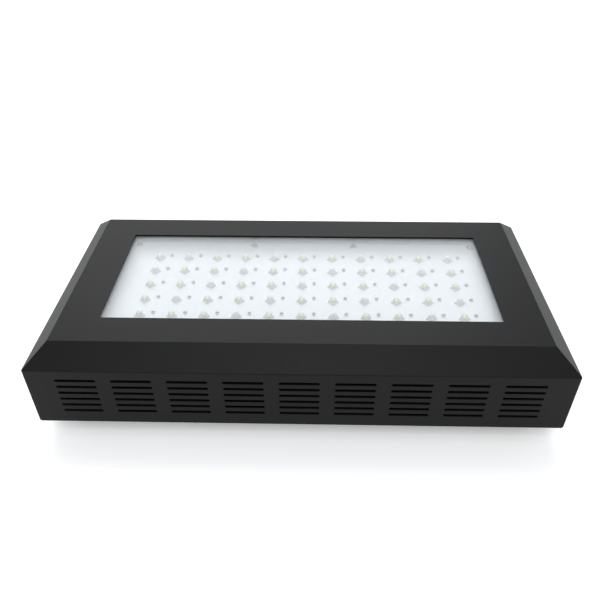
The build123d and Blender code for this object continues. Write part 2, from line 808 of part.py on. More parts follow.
for name, side in fans:
    fan_plane = Plane.XY.move(Location((side * fan_x, 0, inner_z)))
    with BuildPart(fan_plane) as fan_frame:
        with BuildSketch(fan_plane):
            RectangleRounded(fan_size, fan_size, fan_corner)
            Circle(fan_bore_radius, mode=Mode.SUBTRACT)
            with GridLocations(fan_screw_pitch, fan_screw_pitch, 2, 2):
                Circle(m3_radius + thread_gap, mode=Mode.SUBTRACT)
        extrude(amount=fan_depth)
        with BuildSketch(fan_plane.offset(fan_depth - fan_hub_plate)):
            Circle(fan_hub_radius)
            with PolarLocations(0, fan_spokes, start_angle=fan_spoke_angle):
                Rectangle(fan_bore_radius + guard_wire, fan_spoke_width, align=(Align.MIN, Align.CENTER))
        extrude(amount=fan_hub_plate)
        with BuildSketch(fan_plane.offset(fan_post_start)):
            Circle(fan_post_radius)
        extrude(amount=fan_depth - fan_post_start)
        with BuildSketch(fan_plane.offset(fan_post_start)):
            Circle(axle_radius + running_gap)
        extrude(amount=fan_depth - fan_post_start - axle_floor, mode=Mode.SUBTRACT)
    fan_frame.part.label = f"fan_{name}_frame"
    export_step(fan_frame.part, f"parts/fan_{name}_frame.step")

    with BuildPart() as fan_blade:
        with BuildSketch(Plane.YZ.offset(blade_root)):
            Rectangle(fan_blade_chord, fan_blade_thickness, rotation=fan_blade_angle)
        extrude(amount=blade_tip - blade_root)

    rotor_plane = Plane.XY.move(Location((side * fan_x, 0, rotor_low_z)))
    rotor_height = rotor_high_z - rotor_low_z
    with BuildPart(rotor_plane) as fan_rotor:
        with BuildSketch(rotor_plane):
            Circle(fan_hub_radius)
        extrude(amount=rotor_height)
        with Locations((0, 0, rotor_height / 2)):
            with PolarLocations(0, fan_blades):
                add(fan_blade.part)
        with BuildSketch(rotor_plane.offset(rotor_wall)):
            Circle(fan_hub_radius - rotor_wall)
        extrude(amount=rotor_height - rotor_wall, mode=Mode.SUBTRACT)
        with BuildSketch(rotor_plane.offset(rotor_wall)):
            Circle(axle_radius)
        extrude(amount=axle_end_z - rotor_low_z - rotor_wall)
    fan_rotor.part.label = f"fan_{name}_rotor"
    export_step(fan_rotor.part, f"parts/fan_{name}_rotor.step")

    spoke_z = panel_z - guard_wire - guard_drop
    ring_z = spoke_z - 2 * guard_wire + guard_bite
    spoke_reach = fan_screw_pitch / 2 * sqrt(2) - m3_radius - pan_head_radius / 2
    first_ring = fan_bore_radius - guard_edge_gap - (guard_rings - 1) * guard_ring_pitch
    with BuildPart() as fan_guard:
        with Locations((side * fan_x, 0, ring_z)):
            for ring in range(guard_rings):
                Torus(first_ring + ring * guard_ring_pitch, guard_wire)
            Cylinder(guard_disc_radius, 2 * guard_wire)
        with Locations((side * fan_x, 0, spoke_z)):
            with PolarLocations(0, 4, start_angle=45):
                with Locations((guard_disc_radius / 2, 0, 0)):
                    Cylinder(
                        guard_wire,
                        spoke_reach - guard_disc_radius / 2,
                        rotation=(0, 90, 0),
                        align=(Align.CENTER, Align.CENTER, Align.MIN),
                    )
        with BuildSketch(Plane.XY.offset(panel_z)):
            with Locations((side * fan_x, 0)):
                with GridLocations(fan_screw_pitch, fan_screw_pitch, 2, 2):
                    Circle(guard_eye_radius)
        extrude(amount=-2 * guard_wire)
        with BuildSketch(Plane.XY.offset(panel_z)):
            with Locations((side * fan_x, 0)):
                with GridLocations(fan_screw_pitch, fan_screw_pitch, 2, 2):
                    Circle(m3_radius + hole_gap)
        extrude(amount=-4 * guard_wire, mode=Mode.SUBTRACT)
    fan_guard.part.label = f"fan_{name}_guard"
    export_step(fan_guard.part, f"parts/fan_{name}_guard.step")

fan_screw_places = [
    (side * fan_x + x * fan_screw_pitch / 2, y * fan_screw_pitch / 2)
    for side in (1, -1)
    for x in (1, -1)
    for y in (1, -1)
]
with BuildPart() as fan_screws:
    with Locations(*facing_down(fan_screw_places, panel_z - 2 * guard_wire)):
        add(pan_screw(fan_screw_reach))
fan_screws.part.label = "fan_screws"
export_step(fan_screws.part, "parts/fan_screws.step")

# ---------------------------------------------------------------- rocker switches

bezel_z = panel_z - switch_bezel_height
rocker_radius = switch_well_radius - rocker_gap
pivot_z = bezel_z - rocker_sink + rocker_half_height * cos(radians(rocker_tilt))

for tint, side in channels:
    with BuildPart() as switch_body:
        with BuildSketch(Plane.XY.offset(bezel_z)):
            with Locations((side * switch_x, switch_y)):
                Circle(switch_bezel_radius)
        extrude(amount=switch_bezel_height)
        fillet(switch_body.faces().sort_by(Axis.Z)[0].edges(), switch_bezel_round)
        with BuildSketch(Plane.XY.offset(panel_z)):
            with Locations((side * switch_x, switch_y)):
                Circle(switch_body_radius)
        extrude(amount=switch_body_depth)
        with BuildSketch(Plane.XY.offset(bezel_z)):
            with Locations((side * switch_x, switch_y)):
                Circle(switch_well_radius)
        extrude(amount=switch_well_depth, mode=Mode.SUBTRACT)
        with BuildSketch(Plane.YZ.offset(side * switch_x)):
            with Locations((switch_y, pivot_z)):
                Circle(rocker_pin_radius)
        extrude(amount=switch_body_radius, both=True, mode=Mode.SUBTRACT)
    switch_body.part.label = f"switch_{tint}_body"
    export_step(switch_body.part, f"parts/switch_{tint}_body.step")

    # The rocker is cut from a ball about its pivot, so its rim keeps its gap as it tips.
    rocker_plane = Plane(
        origin=(side * switch_x, switch_y, pivot_z), x_dir=(1, 0, 0), z_dir=(0, 0, -1)
    ).rotated((rocker_tilt, 0, 0))
    rim_rise = rocker_radius * tan(radians(rocker_tilt))
    with BuildPart(rocker_plane) as rocker:
        Sphere(rocker_radius)
        with Locations((0, 0, -rocker_foot)):
            Box(3 * rocker_radius, 3 * rocker_radius, rocker_radius, align=top_centre, mode=Mode.SUBTRACT)
        side_plane = Plane(origin=rocker_plane.origin, x_dir=rocker_plane.y_dir, z_dir=rocker_plane.x_dir)
        with BuildSketch(side_plane):
            with BuildLine():
                Polyline(
                    (-rocker_radius, rocker_half_height + rim_rise),
                    (0, rocker_half_height),
                    (rocker_radius, rocker_half_height + rim_rise),
                    (rocker_radius, 2 * rocker_radius),
                    (-rocker_radius, 2 * rocker_radius),
                    close=True,
                )
            make_face()
        extrude(amount=rocker_radius, both=True, mode=Mode.SUBTRACT)
        with BuildSketch(side_plane):
            Circle(rocker_pin_radius + running_gap)
        extrude(amount=rocker_radius, both=True, mode=Mode.SUBTRACT)
    rocker.part.label = f"switch_{tint}_rocker"
    export_step(rocker.part, f"parts/switch_{tint}_rocker.step")

with BuildPart() as switch_pivots:
    for _, side in channels:
        with BuildSketch(Plane.YZ.offset(side * switch_x)):
            with Locations((switch_y, pivot_z)):
                Circle(rocker_pin_radius)
        extrude(amount=switch_body_radius - fit_gap, both=True)
switch_pivots.part.label = "switch_pivots"
export_step(switch_pivots.part, "parts/switch_pivots.step")

with BuildPart() as switch_terminals:
    with BuildSketch(Plane.XY.offset(panel_z + switch_body_depth)):
        with Locations((switch_x, switch_y), (-switch_x, switch_y)):
            with GridLocations(1, terminal_tab_pitch, 1, 3):
                Rectangle(terminal_tab_width, terminal_tab_thickness)
    extrude(amount=terminal_tab_reach)
switch_terminals.part.label = "switch_terminals"
export_step(switch_terminals.part, "parts/switch_terminals.step")

# ---------------------------------------------------------------- dimmer knobs

knob_high_z = panel_z - knob_gap
knob_low_z = knob_high_z - knob_height
bushing_low_z = panel_z - bushing_reach
bore_top_z = inner_z + dimmer_bore_depth

for tint, side in channels:
    place = (side * dimmer_x, dimmer_y)
    with BuildPart() as dimmer_body:
        with BuildSketch(Plane.XY.offset(inner_z)):
            with Locations(place):
                Circle(dimmer_can_radius)
        extrude(amount=dimmer_can_height)
        fillet(dimmer_body.faces().sort_by(Axis.Z)[-1].edges(), dimmer_can_round)
        with BuildSketch(Plane.XY.offset(bushing_low_z)):
            with Locations(place):
                Circle(bushing_radius)
        extrude(amount=inner_z - bushing_low_z)
        with BuildSketch(Plane.XY.offset(bushing_low_z)):
            with Locations(place):
                Circle(shaft_radius + running_gap)
        extrude(amount=bore_top_z - bushing_low_z, mode=Mode.SUBTRACT)
    dimmer_body.part.label = f"dimmer_{tint}_body"
    export_step(dimmer_body.part, f"parts/dimmer_{tint}_body.step")

    with BuildPart() as dimmer_shaft:
        with BuildSketch(Plane.XY.offset(knob_low_z + knob_floor)):
            with Locations(place):
                Circle(shaft_radius)
        extrude(amount=bore_top_z - knob_low_z - knob_floor - shaft_end_gap)
    dimmer_shaft.part.label = f"dimmer_{tint}_shaft"
    export_step(dimmer_shaft.part, f"parts/dimmer_{tint}_shaft.step")

    with BuildPart() as dimmer_knob:
        with BuildSketch(Plane.XY.offset(knob_low_z)):
            with Locations(place):
                Circle(knob_radius)
        extrude(amount=knob_height - knob_ring_height)
        chamfer(dimmer_knob.faces().sort_by(Axis.Z)[0].edges(), knob_chamfer)
        with BuildSketch(Plane.XY.offset(knob_low_z)):
            with Locations(place):
                with PolarLocations(knob_radius, knob_flutes):
                    Circle(knob_flute_radius)
        extrude(amount=knob_height, mode=Mode.SUBTRACT)
        with BuildSketch(Plane.XY.offset(knob_low_z)):
            with Locations(place):
                Circle(cap_radius)
        extrude(amount=cap_depth, mode=Mode.SUBTRACT)
        with BuildSketch(Plane.XY.offset(knob_high_z - knob_ring_height)):
            with Locations(place):
                Circle(knob_skirt_radius)
        extrude(amount=-(knob_skirt_depth - knob_ring_height), mode=Mode.SUBTRACT)
        with BuildSketch(Plane.XY.offset(knob_low_z + knob_floor)):
            with Locations(place):
                Circle(shaft_radius)
        extrude(amount=knob_height, mode=Mode.SUBTRACT)
    dimmer_knob.part.label = f"dimmer_{tint}_knob"
    export_step(dimmer_knob.part, f"parts/dimmer_{tint}_knob.step")

    with BuildPart() as dimmer_ring:
        with BuildSketch(Plane.XY.offset(knob_high_z)):
            with Locations(place):
                Circle(knob_radius)
                Circle(knob_skirt_radius, mode=Mode.SUBTRACT)
        extrude(amount=-knob_ring_height)
        chamfer(dimmer_ring.faces().sort_by(Axis.Z)[-1].outer_wire().edges(), ring_chamfer)
    dimmer_ring.part.label = f"dimmer_{tint}_ring"
    export_step(dimmer_ring.part, f"parts/dimmer_{tint}_ring.step")

    with BuildPart() as dimmer_cap:
        with BuildSketch(Plane.XY.offset(knob_low_z + cap_depth)):
            with Locations(place):
                Circle(cap_radius)
        extrude(amount=-cap_depth - cap_stand)
        chamfer(dimmer_cap.faces().sort_by(Axis.Z)[0].edges(), knob_chamfer)
    dimmer_cap.part.label = f"dimmer_{tint}_cap"
    export_step(dimmer_cap.part, f"parts/dimmer_{tint}_cap.step")

with BuildPart() as dimmer_nuts:
    for _, side in channels:
        with Locations((side * dimmer_x, dimmer_y, panel_z - dimmer_nut_height)):
            add(hex_nut(dimmer_nut_radius, bushing_radius + thread_gap, dimmer_nut_height))
dimmer_nuts.part.label = "dimmer_nuts"
export_step(dimmer_nuts.part, "parts/dimmer_nuts.step")

# ---------------------------------------------------------------- mains inlet and terminals

inlet_outer = (inlet_mouth_length + 2 * inlet_wall, inlet_mouth_width + 2 * inlet_wall)
inlet_face_z = panel_z - inlet_flange_height
inlet_floor_z = inlet_face_z + inlet_mouth_depth
inlet_pin_places = [
    (inlet_x - inlet_pin_pitch, inlet_y - inlet_pin_shift),
    (inlet_x + inlet_pin_pitch, inlet_y - inlet_pin_shift),
    (inlet_x, inlet_y + inlet_pin_shift),
]

with BuildPart() as inlet_body:
    with BuildSketch(Plane.XY.offset(inlet_face_z)):
        with Locations((inlet_x, inlet_y)):
            SlotOverall(inlet_flange_length, inlet_flange_width)
        with Locations(*inlet_screw_places):
            Circle(m3_radius + hole_gap, mode=Mode.SUBTRACT)
    extrude(amount=inlet_flange_height)
    with BuildSketch(Plane.XY.offset(panel_z)):
        with Locations((inlet_x, inlet_y)):
            Rectangle(*inlet_outer)
    extrude(amount=inlet_floor_z + inlet_floor - panel_z)
    with BuildSketch(Plane.XY.offset(inlet_face_z)) as mouth:
        with Locations((inlet_x, inlet_y)):
            Rectangle(inlet_mouth_length, inlet_mouth_width)
        chamfer(mouth.vertices().group_by(Axis.Y)[-1], inlet_mouth_chamfer)
    extrude(amount=inlet_mouth_depth, mode=Mode.SUBTRACT)
    with BuildSketch(Plane.XY.offset(inlet_floor_z)):
        with Locations(*inlet_pin_places):
            Rectangle(inlet_pin_width, inlet_pin_length)
    extrude(amount=inlet_floor, mode=Mode.SUBTRACT)
inlet_body.part.label = "inlet_body"
export_step(inlet_body.part, "parts/inlet_body.step")

with BuildPart() as inlet_pins:
    with BuildSketch(Plane.XY.offset(inlet_face_z + inlet_pin_recess)):
        with Locations(*inlet_pin_places):
            Rectangle(inlet_pin_width, inlet_pin_length)
    extrude(amount=inlet_mouth_depth + inlet_pin_reach - inlet_pin_recess)
    chamfer(inlet_pins.faces().group_by(Axis.Z)[0].edges(), inlet_pin_width / 5)
inlet_pins.part.label = "inlet_pins"
export_step(inlet_pins.part, "parts/inlet_pins.step")

with BuildPart() as inlet_screws:
    with Locations(*facing_down(inlet_screw_places, inlet_face_z)):
        add(pan_screw(inlet_screw_reach))
inlet_screws.part.label = "inlet_screws"
export_step(inlet_screws.part, "parts/inlet_screws.step")

with BuildPart() as inlet_nuts:
    with Locations(*[(x, y, inner_z) for x, y in inlet_screw_places]):
        add(hex_nut(m3_nut_radius, m3_radius + thread_gap, m3_nut_height))
inlet_nuts.part.label = "inlet_nuts"
export_step(inlet_nuts.part, "parts/inlet_nuts.step")

terminal_x = driver_near_x - terminal_driver_gap
with BuildPart() as terminal_block:
    with BuildSketch(Plane.XY.offset(inner_z)):
        with Locations((terminal_x, inlet_y)):
            Rectangle(terminal_length, terminal_width)
    extrude(amount=terminal_height)
    with BuildSketch(Plane.XZ.offset(-inlet_y)):
        with Locations((terminal_x, inner_z + terminal_bore_height)):
            with GridLocations(terminal_pitch, 1, 3, 1):
                Circle(terminal_bore_radius)
    extrude(amount=terminal_width, both=True, mode=Mode.SUBTRACT)
terminal_block.part.label = "terminal_block"
export_step(terminal_block.part, "parts/terminal_block.step")
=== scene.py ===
# %% [markdown]
# # An aquarium light, lying with its lit side up
# The light is a low box of folded sheet steel. A window in its top shows a white board with
# rows of LEDs, and its underside, which faces the ceiling in use, has two rocker switches,
# two dimmer knobs, two fans, a mains inlet and four lugs with wire slings.
# The engineering model is already made, so this script loads it as a fixed frame and only
# adds what it can't hold: finishes, small parts and the stranded wire. Units are metres, and
# sizes are written in millimetres times MM.

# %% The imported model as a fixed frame
import json
from math import atan2, cos, pi, radians, sin, sqrt

import bmesh
import bpy
from mathutils import Matrix, Vector

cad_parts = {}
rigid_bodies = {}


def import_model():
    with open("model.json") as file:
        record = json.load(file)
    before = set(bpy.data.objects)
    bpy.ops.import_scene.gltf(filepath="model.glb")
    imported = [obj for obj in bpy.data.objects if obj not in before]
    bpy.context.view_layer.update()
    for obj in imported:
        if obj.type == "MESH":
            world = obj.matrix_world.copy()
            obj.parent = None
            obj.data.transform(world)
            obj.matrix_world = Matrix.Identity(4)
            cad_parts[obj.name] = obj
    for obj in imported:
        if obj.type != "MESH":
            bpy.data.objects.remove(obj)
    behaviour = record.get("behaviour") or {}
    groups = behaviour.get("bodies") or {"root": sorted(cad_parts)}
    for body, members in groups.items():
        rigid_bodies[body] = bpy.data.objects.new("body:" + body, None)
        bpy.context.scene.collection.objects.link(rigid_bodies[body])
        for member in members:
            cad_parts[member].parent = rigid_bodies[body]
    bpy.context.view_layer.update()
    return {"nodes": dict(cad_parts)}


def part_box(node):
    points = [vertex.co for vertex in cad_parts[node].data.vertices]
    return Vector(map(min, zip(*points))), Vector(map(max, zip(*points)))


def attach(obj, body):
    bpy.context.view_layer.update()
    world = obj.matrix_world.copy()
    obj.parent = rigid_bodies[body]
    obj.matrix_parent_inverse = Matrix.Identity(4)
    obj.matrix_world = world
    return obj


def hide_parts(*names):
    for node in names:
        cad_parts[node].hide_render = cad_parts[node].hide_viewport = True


for leftover in list(bpy.data.objects):
    bpy.data.objects.remove(leftover)
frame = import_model()
nodes = frame["nodes"]
scene = bpy.context.scene
MM = 0.001

# %% [markdown]
# ## Camera
# The light is seen from in front and about 39 degrees above, with a slightly wide lens.
# A camera could be aimed by a Track To constraint. Here it is given three axes worked out
# from its pan, tilt and roll, because that says the exact view in three readable angles.

# %% Camera
CAMERA_PLACE = Vector((9.1, -427.3, 372.9)) * MM
CAMERA_PAN = radians(1.49)
CAMERA_TILT = radians(39.46)
CAMERA_ROLL = radians(-0.27)
FOCAL_LENGTH = 37.19
LENS_SHIFT = 0.0558


def camera_matrix(place, pan, tilt, roll):
    """World matrix of a camera that looks along +Y, then is panned left, tilted down and rolled."""
    right = Vector((cos(pan), sin(pan), 0))
    forward = Vector((-sin(pan) * cos(tilt), cos(pan) * cos(tilt), -sin(tilt)))
    up = right.cross(forward)
    rolled_right = cos(roll) * right + sin(roll) * up
    rolled_up = cos(roll) * up - sin(roll) * right
    turn = Matrix((rolled_right, rolled_up, -forward)).transposed()
    return Matrix.Translation(place) @ turn.to_4x4()


lens = bpy.data.cameras.new("camera")
lens.lens = FOCAL_LENGTH
lens.shift_y = LENS_SHIFT
lens.clip_start = 0.01
camera = bpy.data.objects.new("camera", lens)
camera.matrix_world = camera_matrix(CAMERA_PLACE, CAMERA_PAN, CAMERA_TILT, CAMERA_ROLL)
scene.collection.objects.link(camera)
scene.camera = camera
print("camera at", [round(c, 3) for c in camera.matrix_world.translation])

# %% [markdown]
# ## Colours and nodes
# Shader sockets take linear light, and people choose colours as sRGB hex, so one function
# turns one into the other. A second one adds any node, with its settings and its links, and
# serves the materials and the Geometry Nodes trees alike.


# %% Colour and node helpers
def linear(hex_colour):
    """The linear colour of an sRGB hex value such as #808080, with full alpha."""
    channels = [int(hex_colour[at:at + 2], 16) / 255 for at in (1, 3, 5)]
    return (*[c / 12.92 if c <= 0.04045 else ((c + 0.055) / 1.055) ** 2.4 for c in channels], 1.0)


def add_node(tree, kind, inputs=(), **settings):
    """One node with its settings; an input is a value, or the socket that feeds it."""
    node = tree.nodes.new(kind)
    for name, value in settings.items():
        setattr(node, name, value)
    for name, value in dict(inputs).items():
        if isinstance(value, bpy.types.NodeSocket):
            tree.links.new(value, node.inputs[name])
        else:
            node.inputs[name].default_value = value
    return node


def start_finish(name, looks):
    """A new material: its tree and its Principled shader, with the plain looks on the sockets."""
    finish = bpy.data.materials.new(name)
    finish.use_nodes = True
    tree = finish.node_tree
    tree.nodes.clear()
    shader = add_node(tree, "ShaderNodeBsdfPrincipled", looks)
    add_node(tree, "ShaderNodeOutputMaterial", {"Surface": shader.outputs[0]})
    return finish, tree, shader


def add_grain(tree, shader, colours, grain, depth, roughness, patch=60.0, stretch=(1, 1, 1)):
    """Fine grain in bump and roughness, and broad patches that drift between two colours.

    grain is the size of one grain in metres, depth its height, and a patch is that many
    millimetres wide. stretch draws the grain out along an axis that it divides.
    """
    place = add_node(tree, "ShaderNodeTexCoord").outputs["Object"]
    drawn = add_node(tree, "ShaderNodeMapping", {"Vector": place, "Scale": stretch}).outputs[0]
    fine = add_node(
        tree, "ShaderNodeTexNoise", {"Vector": drawn, "Scale": 1 / grain, "Detail": 2.0},
    )
    broad = add_node(
        tree, "ShaderNodeTexNoise", {"Vector": place, "Scale": 1 / (patch * MM), "Detail": 3.0},
    )
    colour = add_node(
        tree, "ShaderNodeMix",
        {0: broad.outputs[0], 6: linear(colours[0]), 7: linear(colours[1])},
        data_type="RGBA", clamp_factor=True,
    )
    gloss = add_node(
        tree, "ShaderNodeMapRange",
        {"Value": fine.outputs[0], 1: 0.3, 2: 0.7, 3: roughness[0], 4: roughness[1]},
    )
    bump = add_node(
        tree, "ShaderNodeBump", {"Height": fine.outputs[0], "Distance": depth, "Strength": 1.0},
    )
    tree.links.new(colour.outputs[2], shader.inputs["Base Color"])
    tree.links.new(gloss.outputs[0], shader.inputs["Roughness"])
    tree.links.new(bump.outputs[0], shader.inputs["Normal"])
    return colour.outputs[2]


print("steel grey", [round(c, 3) for c in linear("#808080")])

# %% [markdown]
# ## Floor and light
# A plain pale floor and soft studio light. The widest panel hangs behind and a little left,
# where the flat top mirrors it, and leaves the front wall dark. A weaker one in front lights
# the board and the front slope. The floor could be a curved backdrop, but a wide flat sheet
# is enough. It glows a little, as a backlit table does, and its back and its shadow rays are
# clear, so a panel under it lights the back panel and the fans. The sky is seen paler than it
# shines.

# %% Floor, panels and sky
FLOOR_HALF = 4.0
FLOOR_GLOW = 0.22
LIGHTS_AIM = Vector((0, 0, 60 * MM))
SKY_LIGHT = 0.74
SKY_SEEN = 1.05


def studio_floor():
    """The pale sheet that the light stands on, seen only from above."""
    looks = {"Base Color": linear("#f6f6f5"), "Roughness": 0.9,
             "Emission Color": linear("#ffffff"), "Emission Strength": FLOOR_GLOW}
    finish, tree, shader = start_finish("pale_paper", looks)
    side = add_node(tree, "ShaderNodeNewGeometry").outputs["Backfacing"]
    shade = add_node(tree, "ShaderNodeLightPath").outputs["Is Shadow Ray"]
    open_way = add_node(tree, "ShaderNodeMath", {0: side, 1: shade}, operation="MAXIMUM").outputs[0]
    clear = add_node(tree, "ShaderNodeBsdfTransparent").outputs[0]
    either = add_node(tree, "ShaderNodeMixShader", {0: open_way, 1: shader.outputs[0], 2: clear})
    tree.links.new(either.outputs[0], tree.nodes["Material Output"].inputs["Surface"])
    sheet = bpy.data.meshes.new("floor")
    corners = [(-FLOOR_HALF, -FLOOR_HALF, 0), (FLOOR_HALF, -FLOOR_HALF, 0),
               (FLOOR_HALF, FLOOR_HALF, 0), (-FLOOR_HALF, FLOOR_HALF, 0)]
    sheet.from_pydata(corners, [], [(0, 1, 2, 3)])
    sheet.materials.append(finish)
    floor = bpy.data.objects.new("floor", sheet)
    scene.collection.objects.link(floor)


def light_panel(name, place, power, size):
    """A square soft panel that faces the middle of the light."""
    panel = bpy.data.lights.new(name, "AREA")
    panel.energy = power
    panel.size = size
    lamp = bpy.data.objects.new(name, panel)
    lamp.visible_camera = False
    toward = (LIGHTS_AIM - Vector(place)).to_track_quat("-Z", "Y")
    lamp.matrix_world = Matrix.Translation(place) @ toward.to_matrix().to_4x4()
    scene.collection.objects.link(lamp)


studio_floor()
light_panel("panel_behind", (-0.2, 1.5, 1.8), 42, 2.2)
light_panel("panel_front", (0.0, -1.5, 1.9), 20, 1.2)
light_panel("panel_below", (0.0, 0.3, -1.3), 16, 2.0)
sky = bpy.data.worlds.new("studio_sky")
scene.world = sky
sky.use_nodes = True
sky_light = sky.node_tree.nodes["Background"]
sky_light.inputs["Color"].default_value = linear("#f4f7fb")
seen = add_node(sky.node_tree, "ShaderNodeLightPath").outputs["Is Camera Ray"]
glow = add_node(sky.node_tree, "ShaderNodeMapRange", {"Value": seen, 3: SKY_LIGHT, 4: SKY_SEEN})
sky.node_tree.links.new(glow.outputs[0], sky_light.inputs["Strength"])
scene.view_settings.view_transform = "Standard"

# %% [markdown]
# ## Making pieces
# Most small parts are turned on a lathe or cut from a slab, and then repeated. A bmesh holds
# a shape while it is made. lathe() spins a profile about Z, slab() is a block with rounded
# edges, and joined() puts several shapes in one mesh. add_piece() links a finished mesh,
# ties it to a body of the frame and hides the engineering parts that it stands for.


# %% Shape helpers
SHARP_EDGE = radians(34)
MERGE_DISTANCE = 0.001 * MM


def lathe(profile, segments=32):
    """A solid turned about Z from (radius, height) points; it starts and ends on the axis."""
    solid = bmesh.new()
    angles = [2 * pi * k / segments for k in range(segments)]
    rings = []
    for radius, height in profile:
        around = angles if radius > 0 else angles[:1]
        rings.append([solid.verts.new((radius * cos(a), radius * sin(a), height)) for a in around])
    for low, high in zip(rings, rings[1:]):
        for k in range(segments):
            corners = [low[k % len(low)], low[(k + 1) % segments % len(low)],
                       high[(k + 1) % segments % len(high)], high[k % len(high)]]
            solid.faces.new(list(dict.fromkeys(corners)))
    bmesh.ops.recalc_face_normals(solid, faces=solid.faces)
    return solid


def slab(size, centre=(0, 0, 0), rounding=0.0):
    """A block with its edges rounded off."""
    solid = bmesh.new()
    sized = Matrix.Diagonal((*size, 1))
    bmesh.ops.create_cube(solid, size=1.0, matrix=Matrix.Translation(centre) @ sized)
    if rounding:
        bmesh.ops.bevel(
            solid, geom=solid.edges, offset=rounding, segments=2, affect="EDGES", profile=0.5,
        )
    return solid


def joined(name, solids, place=Matrix.Identity(4)):
    """One mesh of several shapes, moved to a place; the shapes are used up."""
    mesh = bpy.data.meshes.new(name)
    whole = bmesh.new()
    for solid in solids:
        solid.to_mesh(mesh)
        solid.free()
        whole.from_mesh(mesh)
    whole.transform(place)
    if place.determinant() < 0:
        bmesh.ops.reverse_faces(whole, faces=whole.faces)
    whole.to_mesh(mesh)
    whole.free()
    return mesh


def plain_mesh(carrier):
    """The mesh of an object with its modifiers worked in; the object is used up."""
    bpy.context.view_layer.update()
    made = carrier.evaluated_get(bpy.context.evaluated_depsgraph_get())
    mesh = bpy.data.meshes.new_from_object(made)
    bpy.data.objects.remove(carrier)
    return mesh


def add_piece(name, mesh, finish, body="fixture", stands_for=()):
    """Links a mesh as a piece of the light, smooth up to its sharp edges."""
    mesh.name = name
    mesh.materials.clear()
    mesh.materials.append(finish)
    mesh.shade_smooth()
    mesh.set_sharp_from_angle(angle=SHARP_EDGE)
    piece = bpy.data.objects.new(name, mesh)
    scene.collection.objects.link(piece)
    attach(piece, body)
    if stands_for:
        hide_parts(*stands_for)
    print(f"{name}: {len(mesh.polygons)} faces")
    return piece


def solids_of(node):
    """Low and high corner of each separate solid in an engineering part, in reading order."""
    shell = bmesh.new()
    shell.from_mesh(nodes[node].data)
    bmesh.ops.remove_doubles(shell, verts=shell.verts, dist=MERGE_DISTANCE)
    waiting = set(shell.verts)
    boxes = []
    while waiting:
        front = [waiting.pop()]
        members = []
        while front:
            vertex = front.pop()
            members.append(vertex.co.copy())
            near = {edge.other_vert(vertex) for edge in vertex.link_edges} & waiting
            waiting -= near
            front.extend(near)
        low = Vector([min(corner[axis] for corner in members) for axis in range(3)])
        high = Vector([max(corner[axis] for corner in members) for axis in range(3)])
        boxes.append((low, high))
    shell.free()
    return sorted(boxes, key=lambda box: (round(box[0].y, 4), round(box[0].x, 4)))


def centres_of(node, height=None):
    """Middle of each separate solid, or the point at one height under or over it."""
    middles = [(low + high) / 2 for low, high in solids_of(node)]
    return [Vector((m.x, m.y, m.z if height is None else height)) for m in middles]


print("LED packages:", len(solids_of("led_bodies")))

# %% [markdown]
# ## Geometry Nodes for what repeats
# Screws, LEDs, chips and fan blades are one shape many times over. They could be copied in a
# Python loop or by an Array modifier. A Geometry Nodes tree that puts an instance on each
# point is shorter and keeps its settings as named inputs. The tree ends by realizing the
# instances, because only real faces leave Blender, and bake() keeps its result as a plain mesh.


# %% Trees and baking
def start_tree(name, inputs):
    """A Geometry Nodes tree with its named inputs, and the sockets that give their values."""
    tree = bpy.data.node_groups.new(name, "GeometryNodeTree")
    tree.interface.new_socket("Geometry", in_out="INPUT", socket_type="NodeSocketGeometry")
    for label, kind in inputs:
        tree.interface.new_socket(label, in_out="INPUT", socket_type="NodeSocket" + kind)
    tree.interface.new_socket("Geometry", in_out="OUTPUT", socket_type="NodeSocketGeometry")
    return tree, add_node(tree, "NodeGroupInput").outputs


def end_tree(tree, geometry, material):
    """Makes instances real, gives them their material and sends them out."""
    real = add_node(tree, "GeometryNodeRealizeInstances", {"Geometry": geometry}).outputs[0]
    dressed = add_node(tree, "GeometryNodeSetMaterial", {"Geometry": real, "Material": material})
    add_node(tree, "NodeGroupOutput", {"Geometry": dressed.outputs[0]})


def bake(tree, start, values):
    """The plain mesh that a tree makes of a start mesh, with its inputs set by identifier."""
    carrier = bpy.data.objects.new("carrier", start)
    scene.collection.objects.link(carrier)
    modifier = carrier.modifiers.new("tree", "NODES")
    modifier.node_group = tree
    for item in tree.interface.items_tree:
        if item.in_out == "INPUT" and item.name in values:
            modifier[item.identifier] = values[item.name]
    return plain_mesh(carrier)


def copies_tree():
    """One copy of a unit on each point, turned by the point's own turn and a seeded random one."""
    tree, given = start_tree(
        "copies_on_points",
        [("Unit", "Object"), ("Random turn", "Float"), ("Seed", "Int"), ("Material", "Material")],
    )
    unit = add_node(tree, "GeometryNodeObjectInfo", {"Object": given["Unit"]}).outputs["Geometry"]
    chance = add_node(
        tree, "FunctionNodeRandomValue",
        {3: given["Random turn"], "Seed": given["Seed"]}, data_type="FLOAT",
    )
    own = add_node(tree, "GeometryNodeInputNamedAttribute", {"Name": "turn"}, data_type="FLOAT")
    both = {0: chance.outputs[1], 1: own.outputs[0]}
    turn = add_node(tree, "ShaderNodeMath", both, operation="ADD")
    spin = add_node(tree, "ShaderNodeCombineXYZ", {"Z": turn.outputs[0]})
    turned = add_node(tree, "FunctionNodeEulerToRotation", {"Euler": spin.outputs[0]})
    copies = add_node(
        tree, "GeometryNodeInstanceOnPoints",
        {"Points": given["Geometry"], "Instance": unit, "Rotation": turned.outputs[0]},
    )
    end_tree(tree, copies.outputs[0], given["Material"])
    return tree


COPIES = copies_tree()


